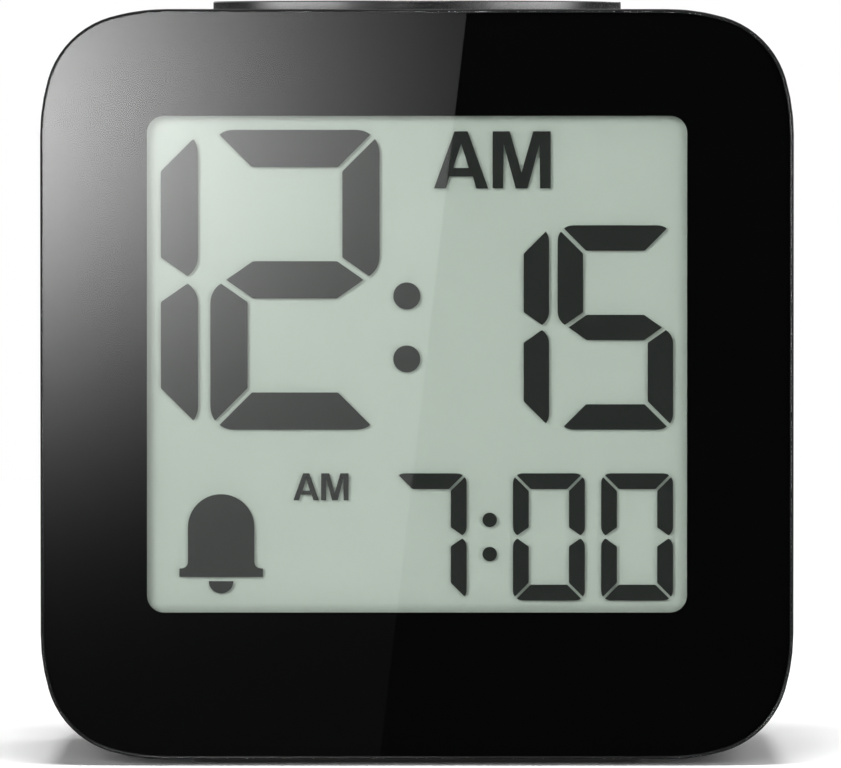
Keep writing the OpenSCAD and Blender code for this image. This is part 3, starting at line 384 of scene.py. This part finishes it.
# wound cone film with pressed rings
def coneFilm(centre, ringPitch=0.7):
    f = Finish("coneFilm")
    x, y, z = f.axes(f.place(centre))
    out = (x * x + z * z) ** 0.5
    ring = abs((out / (ringPitch * mm)) % 1.0 - 0.5)
    fibre = f.grain(0.25 * mm, 4)
    base = f.mix(fibre, (0.012, 0.012, 0.013), (0.035, 0.035, 0.037))
    return f.close(f.body({"Base Color": base, "Roughness": 0.6 + 0.2 * (fibre - 0.5),
                           "Normal": f.bump(ring + 0.4 * fibre, 0.05 * mm)}))


# shrink sleeve with a pale stripe on one side and a bare lid
def sleeve(low, high, stripeFrom=1.7, stripeHalf=1.2, lid=0.3):
    f = Finish("sleeve")
    x, y, z = f.axes(f.place(((low.x + high.x) / 2, low.y, (low.z + high.z) / 2)))
    fine = f.grain(0.4 * mm, 2)
    stripe = (x > stripeFrom * mm) * (abs(z) < stripeHalf * mm)
    bare = y > (high.y - low.y - lid * mm)
    base = f.mix(bare, f.mix(stripe, (0.012, 0.018, 0.07), (0.5, 0.52, 0.56)), (0.6, 0.6, 0.6))
    return f.close(f.body({"Base Color": base, "Metallic": 0.9 * bare, "Roughness": 0.32 + 0.1 * (fine - 0.5),
                           "Normal": f.bump(fine, 0.01 * mm)}))


# print ink of the rear marks
def printInk():
    f = Finish("printInk")
    fine = f.grain(0.12 * mm, 3)
    base = f.mix(fine, (0.5, 0.5, 0.5), (0.68, 0.68, 0.67))
    return f.close(f.body({"Base Color": base, "Roughness": 0.55 + 0.2 * (fine - 0.5)}))


strandCount = 12  # of the flat cable
cellWays = {"cell_lower": 1, "cell_upper": -1}  # which way along x the raised end points
speakerMiddle = sum(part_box("speaker_gasket"), Vector()) / 2
finishes = {
    "case": moulded("satinCase", (0.0125, 0.0125, 0.0132), 0.46),
    # the case's lip: a darker, duller copy of the case plastic, painted shade along the rim of the face
    "lip": moulded("lipShadedSatin", (0.006, 0.006, 0.0063), 0.4, shine=0.3),
    "lens": clearLens(acrylic),
    "edge": moulded("edgeInk", (0.003, 0.003, 0.0031), 0.4, skin=0.3, depth=0.002, shine=0.1),
    "mask": moulded("maskInk", (0.0024, 0.0024, 0.0025), 0.55, skin=0.3, depth=0.002, shine=0.0),
    "foot": moulded("footRubber", (0.016, 0.016, 0.016), 0.82, skin=0.3, depth=0.03),
    "frontGlass": filmGlass("frontGlass", (0.985, 0.99, 0.986), 1.0),
    "rearGlass": filmGlass("rearGlass", (0.99, 0.993, 0.99), 0.02),
    "seal": moulded("sealResin", (0.32, 0.34, 0.28), 0.35, skin=0.1, depth=0.004),
    "foil": greyFoil(foil),
    "ink": darkSegment(),
    "guide": dottedGuide(),
    "led": ledBody(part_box("backlight_leds")[0]),
    "strip": layeredStrip(),
    "holder": moulded("holderWhite", (0.72, 0.72, 0.69), 0.5, drift=0.05),
    "board": circuitBoard("greenBoard", False),
    "topBoard": circuitBoard("greenTopBoard", True),
    "drop": moulded("resinDrop", (0.006, 0.006, 0.006), 0.22, skin=1.4, depth=0.03, coat=0.4),
    "can": metal("canSteel", (0.66, 0.66, 0.67), 0.28, (30, 1, 1)),
    "sleeve": sleeve(*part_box("capacitor")),
    "screw": metal("screwZinc", (0.6, 0.61, 0.63), 0.32, (1, 20, 1), 0.25),
    "ribbon": flatCable(*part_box("ribbon_cable"), strandCount),
    "contact": metal("nickelPlate", (0.72, 0.7, 0.66), 0.26, (1, 1, 18)),
    "spring": metal("springSteel", (0.6, 0.6, 0.61), 0.24, (6, 6, 6), 0.2),
    "redWire": moulded("redWire", (0.42, 0.02, 0.016), 0.4, skin=0.3, depth=0.006),
    "blackWire": moulded("blackWire", (0.012, 0.012, 0.012), 0.42, skin=0.3, depth=0.006),
    "whiteWire": moulded("whiteWire", (0.66, 0.64, 0.6), 0.42, skin=0.3, depth=0.006),
    "switch": moulded("switchBlack", (0.013, 0.013, 0.013), 0.5, skin=0.12),
    "plunger": moulded("plungerGrey", (0.07, 0.07, 0.072), 0.45, skin=0.12),
    "button": moulded("buttonSatin", (0.013, 0.013, 0.0136), 0.24, skin=0.1, depth=0.0025, shine=1.0),
    "key": moulded("keyPlastic", (0.02, 0.02, 0.0208), 0.4, skin=0.11, depth=0.016),
    "slideCan": metal("slideCan", (0.62, 0.62, 0.63), 0.3, (20, 1, 1)),
    "slider": moulded("sliderGrey", (0.5, 0.51, 0.5), 0.45, drift=0.06),
    "foam": foam(),
    "basket": metal("basketSteel", (0.5, 0.5, 0.5), 0.36, (4, 4, 4), 0.25),
    "cone": coneFilm(speakerMiddle),
    "magnet": metal("magnetDark", (0.14, 0.14, 0.145), 0.42, (3, 3, 3), 0.3),
    "print": printInk(),
}
for name, way in cellWays.items():
    low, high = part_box(name)
    finishes[name] = cellWrapper(name + "Wrapper", high.x if way > 0 else low.x, way)
print("finishes made,", len(finishes))

# CAD nodes that keep their own shape
dressed = {
    "case": "main_case rear_cover battery_door",
    "mask": "lens_mask",
    "foot": "front_foot rear_foot",
    "ink": "lcd_segments",
    "seal": "lcd_seal",
    "foil": "lcd_reflector",
    "guide": "light_guide",
    "led": "backlight_leds",
    "strip": "zebra_top zebra_bottom",
    "holder": "lcd_holder",
    "board": "main_board key_board",
    "topBoard": "top_switch_board",
    "drop": "chip_blob",
    "can": "crystal_can",
    "sleeve": "capacitor",
    "screw": "board_screws case_screws key_screws top_board_screws",
    "contact": "contact_bridge contact_positive contact_negative",
    "switch": "hour_switch minute_switch set_switch top_switch",
    "plunger": "hour_plunger minute_plunger set_plunger top_plunger",
    "button": "top_button",
    "key": "hour_button minute_button set_button",
    "slideCan": "alarm_switch",
    "slider": "alarm_slider",
    "basket": "speaker_frame",
    "cone": "speaker_cone",
    "magnet": "speaker_magnet",
}
for finish, names in dressed.items():
    for name in names.split():
        slots = cadNodes[name].data.materials
        slots.clear()
        slots.append(finishes[finish])
print("CAD nodes dressed")


# a bmesh becomes a piece of the clock
def piece(name, bm, finish, body, replaced=(), crease=35):
    bmesh.ops.recalc_face_normals(bm, faces=bm.faces)
    mesh = bpy.data.meshes.new(name)
    bm.to_mesh(mesh)
    bm.free()
    mesh.shade_smooth()
    mesh.set_sharp_from_angle(angle=math.radians(crease))
    mesh.materials.append(finishes[finish])
    made = bpy.data.objects.new(name, mesh)
    scene.collection.objects.link(made)
    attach(made, body)
    if replaced:
        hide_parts(*replaced)
    return made


def only(items, kind):
    return [item for item in items if isinstance(item, kind)]


def pushed(bm, faces, way):
    out = bmesh.ops.extrude_face_region(bm, geom=faces)["geom"]
    bmesh.ops.translate(bm, vec=way, verts=only(out, bmesh.types.BMVert))
    return only(out, bmesh.types.BMFace)


def rounded(bm, edges, size, segments):
    bmesh.ops.bevel(bm, geom=edges, offset=size * mm, offset_type="OFFSET", affect="EDGES", segments=segments,
                    profile=0.5, material=-1)


# the face's outline, drawn by spinning a point round each corner's arcs, in mm
caseLow, caseHigh = [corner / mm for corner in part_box("main_case")]
lensLow, lensHigh = [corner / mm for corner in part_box("front_lens")]
face = {"halfWidth": (caseHigh.x - caseLow.x) / 2, "halfHeight": (caseHigh.z - caseLow.z) / 2,
        "middle": (caseHigh.z + caseLow.z) / 2, "inset": caseHigh.x - lensHigh.x,
        "front": lensLow.y, "rear": lensHigh.y - 0.004,  # a hair clear of the mask
        "cornerRadius": 7.25, "blendRadius": 16, "slope": math.atan2(7, 24),
        "edge": 0.04, "border": 0.03, "steps": 10}
near = 1e-7  # metres, for telling points of one plane


def cornerArcs(p):
    gap = p["blendRadius"] - p["cornerRadius"]
    far = p["blendRadius"] - gap * (math.cos(p["slope"]) - math.sin(p["slope"]))
    close = p["blendRadius"] - gap * math.cos(p["slope"])
    w, h, r = p["halfWidth"], p["halfHeight"], p["blendRadius"]
    middle = quarter - 2 * p["slope"]
    return [((w - r, h - far), p["slope"]), ((w - close, h - close), middle), ((w - far, h - r), p["slope"])]


def faceOutline(bm, p, y):
    arcs = cornerArcs(p)
    tip = [bm.verts.new(((p["halfWidth"] - p["inset"]) * mm, y * mm, arcs[0][0][1] * mm))]
    for (x, z), angle in arcs:
        out = bmesh.ops.spin(bm, geom=tip, cent=(x * mm, y * mm, z * mm), axis=(0, -1, 0), angle=angle,
                             steps=max(3, round(angle * p["steps"])))
        tip = only(out["geom_last"], bmesh.types.BMVert)
    for axis in "XZ":
        bmesh.ops.mirror(bm, geom=bm.verts[:] + bm.edges[:], matrix=Matrix.Identity(4), merge_dist=-1,
                         axis=axis)
    ends = [v for v in bm.verts if len(v.link_edges) == 1]
    for v in ends:
        if len(v.link_edges) == 1:  # straight sides join the corners
            steps = [(w, w.co - v.co) for w in ends if w is not v]
            level = [(step.length, w) for w, step in steps if min(abs(step.x), abs(step.z)) < 10 * near]
            bm.edges.new((v, min(level, key=lambda pair: pair[0])[1]))
    bmesh.ops.translate(bm, vec=(0, 0, p["middle"] * mm), verts=bm.verts)
    return bmesh.ops.contextual_create(bm, geom=bm.edges[:])["faces"]


def lensPiece(p):
    def inFront(item):
        return all(abs(v.co.y - p["front"] * mm) < near for v in item.verts)

    bm = bmesh.new()
    sheet = faceOutline(bm, p, p["front"])
    pushed(bm, sheet, (0, (p["rear"] - p["front"]) * mm, 0))
    rounded(bm, [e for e in bm.edges if inFront(e)], p["edge"], 4)
    flat = [f for f in bm.faces if inFront(f)]  # a narrow border keeps the front's shading flat
    bmesh.ops.inset_individual(bm, faces=flat, thickness=p["border"] * mm, use_even_offset=True)
    return piece("face_lens", bm, "lens", "case", ["front_lens"])


lensPiece(face)

# rings round the face: the rounded lip of the case, and the ink on the lens's edge
lip = {"outer": 0.0, "inner": 0.19, "rear": caseLow.y, "front": lensHigh.y, "round": 0.07}
edgeInk = {"outer": 0.165, "inner": 0.197, "rear": face["rear"], "front": face["front"] + 0.07,
           "round": 0.015}


def faceRing(p, name, finish):
    bm = bmesh.new()
    sheet = faceOutline(bm, {**face, "inset": p["outer"]}, p["front"])
    outer = set(bm.verts)
    wide = (p["inner"] - p["outer"]) * mm
    bmesh.ops.inset_individual(bm, faces=sheet, thickness=wide, use_even_offset=True)
    bmesh.ops.delete(bm, geom=sheet, context="FACES_ONLY")
    pushed(bm, bm.faces[:], (0, (p["rear"] - p["front"]) * mm, 0))
    rounded(bm, [e for e in bm.edges if all(v in outer for v in e.verts)], p["round"], 4)
    return piece(name, bm, finish, "case", crease=50)


# the lip ring takes the darker lip finish: painted shade round the face's rim
faceRing(lip, "case_lip", "lip")
faceRing(edgeInk, "lens_edge", "edge")

# LCD panes with ground edges, a hair clear of the segments and the foil
panes = {"clear": 0.008, "ground": 0.08,
         "glasses": {"lcd_front_pane": ("lcd_front_glass", "frontGlass"),
                     "lcd_rear_pane": ("lcd_rear_glass", "rearGlass")}}


def glassPanes(p):
    for name, (node, finish) in p["glasses"].items():
        low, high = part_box(node)
        size = high - low
        size.y -= 2 * p["clear"] * mm
        bm = bmesh.new()
        at = Matrix.Translation((low + high) / 2)
        bmesh.ops.create_cube(bm, size=1, matrix=at @ Matrix.Diagonal((*size, 1)))
        rounded(bm, bm.edges[:], p["ground"], 2)
        piece(name, bm, finish, "case", [node], crease=20)


glassPanes(panes)
print("lens and panes made")


# a round wire that is drawn on, bent and coiled
class Wire:
    def __init__(self, radius, start, sides=12):
        self.bm = bmesh.new()
        bmesh.ops.create_circle(self.bm, cap_ends=True, segments=sides, radius=radius,
                                matrix=Matrix.Translation(start))
        self.tip = self.bm.faces[:]

    def ends(self):
        edges = dict.fromkeys(e for f in self.tip for e in f.edges)
        verts = dict.fromkeys(v for f in self.tip for v in f.verts)
        return [*self.tip, *edges, *verts]

    def run(self, way):
        self.tip = pushed(self.bm, self.ends(), way)

    def bend(self, centre, axis, angle, steps, rise=(0, 0, 0)):
        out = bmesh.ops.spin(self.bm, geom=self.ends(), cent=centre, axis=axis, angle=angle, steps=steps,
                             dvec=rise)
        self.tip = only(out["geom_last"], bmesh.types.BMFace)

    def moved(self, matrix):
        bmesh.ops.transform(self.bm, matrix=matrix, verts=self.bm.verts)
        return self.bm


# coils with straight, bent ends, as in the solids; way is where a coil goes from its seat
topCoil = {"radius": 2, "wire": 0.5, "turns": 4, "way": "up", "travel": 0.8}
cellCoil = {"radius": 2.6, "wire": 0.6, "turns": 2}
coils = {
    "top_coil_left": {**topCoil, "node": "top_spring_left"},
    "top_coil_right": {**topCoil, "node": "top_spring_right"},
    "cell_coil_lower": {**cellCoil, "node": "spring_lower", "way": "right"},
    "cell_coil_upper": {**cellCoil, "node": "spring_upper", "way": "left"},
}
coilSteps = {"turn": 40, "end": 6}


# a coil up Z from the origin
def coil(radius, wire, turns, length):
    rise = length - 4 * wire
    steps = turns * coilSteps["turn"]
    w = Wire(wire / 2, (radius, -wire, 0))
    w.run((0, 0, wire))
    w.bend((radius, 0, wire), (-1, 0, 0), quarter, coilSteps["end"])
    w.bend((0, 0, 0), (0, 0, 1), 2 * math.pi * turns, steps, (0, 0, rise / steps))
    w.bend((radius, 0, 3 * wire + rise), (1, 0, 0), quarter, coilSteps["end"])
    w.run((0, 0, wire))
    return w


def coilPieces():
    for name, p in coils.items():
        low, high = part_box(p["node"])
        size = high - low
        y = (low.y + high.y) / 2
        reach = (p["radius"] + p["wire"] / 2) * mm
        at, turn, length = {"up": (Vector((high.x - reach, y, low.z)), 0, size.z),
                            "right": (Vector((low.x, y, low.z + reach)), quarter, size.x),
                            "left": (Vector((high.x, y, high.z - reach)), -quarter, size.x)}[p["way"]]
        w = coil(p["radius"] * mm, p["wire"] * mm, p["turns"], length)
        bm = w.moved(Matrix.Translation(at) @ Matrix.Rotation(turn, 4, "Y"))
        made = piece(name, bm, "spring", "case", [p["node"]])
        if "travel" in p:
            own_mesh(made)


coilPieces()
print("coils made")

# insulated leads: up from the contact tails or down from the top board, then on to the key board
leads = {"radius": 0.45, "bend": 1.0, "bendSteps": 8, "sides": 16, "least": 0.01}


def lead(p, node, side=0.5, down=False, back=False):
    low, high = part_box(node)
    r, b = p["radius"] * mm, p["bend"] * mm
    rise, run = [part - b - r for part in (high.z - low.z, high.y - low.y)]
    w = Wire(r, (0, 0, 0), p["sides"])
    w.run((0, 0, rise))
    w.bend((0, b, rise), (-1, 0, 0), quarter, p["bendSteps"])
    if run > p["least"] * mm:
        w.run((0, run, 0))
    x = low.x + r + side * (high.x - low.x - 2 * r)
    start = Matrix.Translation((x, high.y - r if back else low.y + r, high.z if down else low.z))
    return w.moved(start @ Matrix.Diagonal((1, -1 if back else 1, -1 if down else 1, 1)))


def leadPieces(p):
    piece("lead_red", lead(p, "positive_lead", back=True), "redWire", "case", ["positive_lead"])
    piece("lead_black", lead(p, "negative_lead"), "blackWire", "case", ["negative_lead"])
    both = bmesh.new()
    for side in (0, 1):
        bm = lead(p, "switch_leads", side, down=True)
        mesh = bpy.data.meshes.new("strand")
        bm.to_mesh(mesh)
        bm.free()
        both.from_mesh(mesh)
        bpy.data.meshes.remove(mesh)
    piece("leads_white", both, "whiteWire", "case", ["switch_leads"])


leadPieces(leads)

# flat cable: a row of strands drawn along the S from the main board to the key board
ribbon = {"strands": strandCount, "thick": 0.3, "overlap": 1.02, "steps": 24, "sides": 8}


def ribbonPiece(p):
    low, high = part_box("ribbon_cable")
    half = p["thick"] / 2 * mm
    pitch = (high.x - low.x) / p["strands"]
    zFrom, zTo = low.z + half, high.z - half
    atFront = [v.co.z for v in cadNodes["ribbon_cable"].data.vertices if v.co.y < low.y + 0.01 * mm]
    if sum(atFront) / len(atFront) > (zFrom + zTo) / 2:
        zFrom, zTo = zTo, zFrom
    bm = bmesh.new()
    upright = Matrix.Rotation(quarter, 4, "X")
    wide = Matrix.Diagonal((pitch / 2 / half * p["overlap"], 1, 1, 1))
    for k in range(p["strands"]):
        x = low.x + (k + 0.5) * pitch
        bmesh.ops.create_circle(bm, cap_ends=True, segments=p["sides"], radius=half,
                                matrix=Matrix.Translation((x, low.y, zFrom)) @ wide @ upright)
    tip = bm.faces[:]
    ease = [t * t * (3 - 2 * t) for t in (i / p["steps"] for i in range(p["steps"] + 1))]
    for early, late in zip(ease, ease[1:]):
        tip = pushed(bm, tip, (0, (high.y - low.y) / p["steps"], (zTo - zFrom) * (late - early)))
    return piece("ribbon_strands", bm, "ribbon", "case", ["ribbon_cable"], crease=60)


ribbonPiece(ribbon)
print("leads and ribbon made")


# a closed ring or disc, turned from a few points (radius, height)
def turned(points, steps, matrix):
    bm = bmesh.new()
    verts = [bm.verts.new((r * mm, 0, h * mm)) for r, h in points]
    edges = [bm.edges.new(pair) for pair in zip(verts, verts[1:])]
    bmesh.ops.spin(bm, geom=verts + edges, cent=(0, 0, 0), axis=(0, 0, 1), angle=2 * math.pi, steps=steps,
                   use_merge=True)
    bmesh.ops.remove_doubles(bm, verts=bm.verts, dist=near)
    bmesh.ops.dissolve_degenerate(bm, dist=near / 10, edges=bm.edges)
    bmesh.ops.transform(bm, matrix=matrix, verts=bm.verts)
    return bm


# foam ring and pad of the loudspeaker: crowned between their faces
gasket = {"in": 8.8, "bulge": 0.1, "steps": 72}
pad = {"bulge": 0.12, "steps": 48}
crown = ((0, 0), (0.15, 0.7), (0.5, 1), (0.85, 0.7), (1, 0))  # share of the thickness, share of the bulge


def crowned(radius, bulge, thick):
    return [(radius + bulge * out, thick * up) for up, out in crown]


def foamPieces(ring, disc):
    low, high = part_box("speaker_gasket")
    thick, bulge = (high.y - low.y) / mm, ring["bulge"]
    middle = speakerMiddle
    side = crowned((high.x - middle.x) / mm - bulge, bulge, thick)
    hole = crowned(ring["in"] + bulge, -bulge, thick)[::-1]
    alongY = Matrix.Rotation(-quarter, 4, "X")
    at = Matrix.Translation((middle.x, low.y, middle.z))
    bm = turned(side + hole + side[:1], ring["steps"], at @ alongY)
    piece("foam_ring", bm, "foam", "case", ["speaker_gasket"], crease=70)
    low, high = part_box("speaker_pad")
    thick, bulge = (high.y - low.y) / mm, disc["bulge"]
    side = [(0, 0)] + crowned((high.x - middle.x) / mm - bulge, bulge, thick) + [(0, thick)]
    at = Matrix.Translation((middle.x, low.y, middle.z))
    bm = turned(side, disc["steps"], at @ alongY)
    piece("foam_disc", bm, "foam", "case", ["speaker_pad"], crease=70)


foamPieces(gasket, pad)

# cells: wrapper with rolled ends, a shoulder and the raised nub
cell = {"radius": 5.1, "steps": 64}


def cellPieces(p):
    r = p["radius"]
    rolled = [(0, 0.12), (3.4, 0.12), (3.7, 0.02), (4.1, 0), (4.5, 0.02), (4.85, 0.14), (5.02, 0.32),
              (r, 0.6), (r, 1.2)]
    shoulder = [(r, 2.0), (5.04, 1.72), (4.88, 1.5), (4.7, 1.38), (4.45, 1.3), (4.2, 1.34), (4.05, 1.44),
                (3.7, 1.46), (3.2, 1.4), (2.6, 1.25), (2.05, 1.1)]
    nub = [(1.9, 0.95), (1.9, 0.3), (1.84, 0.12), (1.66, 0), (0, 0)]
    for node, way in cellWays.items():
        low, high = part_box(node)
        length = (high.x - low.x) / mm
        profile = rolled + [(out, length - back) for out, back in shoulder + nub]
        at = Matrix.Translation((low.x if way > 0 else high.x, (low.y + high.y) / 2, low.z + r * mm))
        bm = turned(profile, p["steps"], at @ Matrix.Rotation(quarter * way, 4, "Y"))
        piece(node + "_wrapped", bm, node, "case", [node])


cellPieces(cell)
print("foam and cells made")

# printed marks on the rear, read from behind; each stands across and up from the middle of its key
marks = {"height": 1.5, "fontScale": 1.4, "thick": 0.03, "curveSteps": 6,
         "words": [("HOUR", "hour_button", 0, 4.4), ("MIN", "minute_button", 0, -4.7),
                   ("SET", "set_button", 0, 4.4), ("ALARM", "alarm_switch", 0, -3.95),
                   ("ON", "alarm_switch", 5.45, 0), ("OFF", "alarm_switch", -5.75, 0)]}


def rearMarks(p):
    toRear = Matrix(((-1, 0, 0, 0), (0, 0, 1, 0), (0, 1, 0, 0), (0, 0, 0, 1)))
    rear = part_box("rear_cover")[1].y
    for word, node, across, up in p["words"]:
        middle = sum(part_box(node), Vector()) / 2
        text = bpy.data.curves.new(word, "FONT")
        text.body = word
        text.size = p["height"] * p["fontScale"] * mm
        text.align_x = "CENTER"
        text.align_y = "CENTER"
        text.extrude = p["thick"] / 2 * mm
        text.resolution_u = p["curveSteps"]
        holder = bpy.data.objects.new("draft", text)
        mesh = bpy.data.meshes.new_from_object(holder)
        bpy.data.objects.remove(holder)
        bpy.data.curves.remove(text)
        bm = bmesh.new()
        bm.from_mesh(mesh)
        bpy.data.meshes.remove(mesh)
        bmesh.ops.remove_doubles(bm, verts=bm.verts, dist=near / 10)
        at = Matrix.Translation((middle.x + across * mm, rear + p["thick"] / 2 * mm, middle.z + up * mm))
        bmesh.ops.transform(bm, matrix=at @ toRear, verts=bm.verts)
        piece("mark_" + word.lower(), bm, "print", "case", crease=30)


rearMarks(marks)
print("marks made")

# camera a little above the middle of the face, long lens, in mm
shot = {"distance": 900, "height": 56, "aim": (0.28, -18.9, 30.35), "width": 66.98, "sensor": 36}


def shotCamera(p):
    aim = Vector(p["aim"]) * mm
    eye = Vector((aim.x, (face["front"] - p["distance"]) * mm, p["height"] * mm))
    data = bpy.data.cameras.new("shotCamera")
    data.sensor_width = p["sensor"]
    data.lens = p["sensor"] * (aim - eye).length / (p["width"] * mm)
    made = bpy.data.objects.new("shotCamera", data)
    made.location = eye
    made.rotation_euler = (aim - eye).to_track_quat("-Z", "Y").to_euler()
    scene.collection.objects.link(made)
    return made


scene.camera = shotCamera(shot)

# lamps: place in metres, size of the square, watts, whether it shows as a highlight
lamps = {
    "keyLamp": {"at": (-0.21, -1.05, 0.20), "size": 0.26, "power": 5.95, "highlight": False},
    "fillLamp": {"at": (0.19, -1.05, 0.09), "size": 0.3, "power": 3.95, "highlight": False},
    "topLamp": {"at": (0.0, -0.33, 1.0), "size": 0.4, "power": 9.6, "highlight": True},
    "rearLamp": {"at": (0.45, 1.0, 0.6), "size": 0.8, "power": 5, "highlight": True},
}
lampAim = Vector((0, 0, 0.03))
for name, p in lamps.items():
    data = bpy.data.lights.new(name, "AREA")
    data.shape = "SQUARE"
    data.size = p["size"]
    data.energy = p["power"]
    lamp = bpy.data.objects.new(name, data)
    lamp.location = p["at"]
    lamp.rotation_euler = (lampAim - Vector(p["at"])).to_track_quat("-Z", "Y").to_euler()
    lamp.visible_camera = False
    lamp.visible_glossy = p["highlight"]
    scene.collection.objects.link(lamp)


# world: white where it is seen, softer as light, dark overhead and underfoot in what mirrors it
world = {"ambient": 0.22, "overhead": 0.1, "white": 0.45, "dark": 0.8}


def paleWorld(p):
    f = Finish("paleWorld", world=True)
    x, y, z = f.axes(f.place())
    mirrored = f.between(abs(z), p["white"], p["dark"], 1.0, p["overhead"])
    seen = f.larger(f.ray("Is Camera Ray"), f.ray("Is Transmission Ray"))
    shine = f.ray("Is Glossy Ray") * (1 - seen)
    strength = p["ambient"] + (mirrored - p["ambient"]) * shine + (1 - p["ambient"]) * seen
    return f.close(f.node("ShaderNodeBackground", {}, {"Color": (1, 1, 1, 1), "Strength": strength}))


scene.world = paleWorld(world)

# floor: shadow near the clock, plain white further out, in metres
floor = {"half": 3.0, "tone": 0.4, "drift": 0.01, "grain": 0.004, "seen": 1.08, "near": 0.25, "far": 0.6}


def paleFloor(p):
    f = Finish("paleFloor")
    x, y, z = f.axes(f.place())
    out = (x * x + y * y) ** 0.5
    seen = f.ray("Is Camera Ray")
    base = f.mix(f.grain(p["grain"], 3), (p["tone"] - p["drift"],) * 3, (p["tone"] + p["drift"],) * 3)
    shadowed = f.node("ShaderNodeBsdfDiffuse", {}, {"Color": f.mix(seen, base, (p["seen"],) * 3)})
    return f.close(f.blend(f.between(out, p["near"], p["far"]) * seen, shadowed, f.glow(1.0)))


def stagePlane(name, matrix, material, hiddenFrom):
    bm = bmesh.new()
    bmesh.ops.create_grid(bm, x_segments=1, y_segments=1, size=1)
    bmesh.ops.transform(bm, matrix=matrix, verts=bm.verts)
    mesh = bpy.data.meshes.new(name)
    bm.to_mesh(mesh)
    bm.free()
    mesh.materials.append(material)
    made = bpy.data.objects.new(name, mesh)
    scene.collection.objects.link(made)
    for rays in hiddenFrom.split():
        setattr(made, "visible_" + rays, False)


# what mirrors the floor sees the world there, as white as the floor
floorSize = Matrix.Diagonal((floor["half"], floor["half"], 1, 1))
stagePlane("paleFloor", floorSize, paleFloor(floor), "glossy transmission")

# card before the face, seen only as a reflection: dark, with a soft glow at the upper left, in mm
card = {"distance": 300, "halfX": 233, "halfZ": 167, "middleZ": 30,
        "peak": 6.4, "base": 0.02, "shown": (0.46, 0.22), "lensPasses": 3,
        "brightX": -37.9, "brightZ": 51.9, "flat": -6.4,
        "fallX": (0.0472, 0.000534), "fallZ": (0.0019, 0.0016),
        "left": (-118.5, -65.5), "rightAtFloor": -1.95, "lean": 0.1165, "top": 61.66,
        "sides": (113, 167), "sideGlow": 1.1}


def glowCard(p):
    f = Finish("glowCard")
    x, y, z = [part / mm for part in f.axes(f.place())]
    right = f.larger(x - p["brightX"], p["flat"])
    down = p["brightZ"] - z
    falls = ((right, p["fallX"]), (down, p["fallZ"]))
    fadeX, fadeZ = [-1 * across * (slow + fast * across) for across, (slow, fast) in falls]
    inside = (x < p["rightAtFloor"] + p["lean"] * z) * (z < p["top"])  # slanted right edge, straight top
    glow = math.e ** (fadeX + fadeZ) * p["peak"] * f.between(x, *p["left"]) + p["base"]
    behindLens = f.ray("Transmission Depth") > p["lensPasses"]
    level, share = p["shown"]  # the display mirrors a flatter, paler card than the lens does
    glow = glow + (level + (share - 1) * glow) * behindLens
    return f.close(f.glow(glow * inside + p["sideGlow"] * f.between(abs(x), *p["sides"])))


def cardPlane(p):
    at = Matrix.Translation((0, (face["front"] - p["distance"]) * mm, p["middleZ"] * mm))
    size = Matrix.Diagonal((p["halfX"] * mm, p["halfZ"] * mm, 1, 1))
    stagePlane("glowCard", at @ Matrix.Rotation(quarter, 4, "X") @ size, glowCard(p), "camera diffuse shadow")


cardPlane(card)

# pale cards at both sides, seen only in what is glossy: they light the button's side and the rim, in mm
sideCards = {"x": 380, "near": {"left": -620, "right": -680}, "far": 2400, "z": (-20, 95), "glow": 7.8,
             "brighten": (-620, -300), "darken": (-100, 120), "rise": (-20, 30)}


def sideGlow(p):
    f = Finish("sideGlow")
    x, y, z = [part / mm for part in f.axes(f.place())]
    fade = f.between(y, *p["brighten"]) * f.between(y, *p["darken"], 1.0, 0.0) * f.between(z, *p["rise"])
    return f.close(f.glow(p["glow"] * fade))


def sidePlanes(p):
    glow = sideGlow(p)
    low, high = p["z"]
    for side, way in (("left", -1), ("right", 1)):
        start, end = p["near"][side], p["far"]
        at = Matrix.Translation(Vector((way * p["x"], (start + end) / 2, (low + high) / 2)) * mm)
        size = Matrix.Diagonal(((high - low) / 2 * mm, (end - start) / 2 * mm, 1, 1))
        stagePlane(side + "Card", at @ Matrix.Rotation(quarter, 4, "Y") @ size, glow,
                   "camera diffuse shadow transmission")


sidePlanes(sideCards)

# dark flag that keeps the glow off the button: half width, and both ends as y, z, in mm
flag = {"halfX": 45, "start": (-26, 60.0), "end": (-318, 62.0)}


def flagPlane(p):
    f = Finish("darkFlag")
    dark = f.close(f.node("ShaderNodeEmission", {}, {"Color": (0, 0, 0, 1), "Strength": 0.0}))
    start, end = [Vector((0, *spot)) * mm for spot in (p["start"], p["end"])]
    rise = math.atan2(start.z - end.z, start.y - end.y)
    at = Matrix.Translation((start + end) / 2) @ Matrix.Rotation(rise, 4, "X")
    size = Matrix.Diagonal((p["halfX"] * mm, (start - end).length / 2, 1, 1))
    stagePlane("darkFlag", at @ size, dark, "camera diffuse shadow transmission")


flagPlane(flag)
print("camera, lamps and stage made")
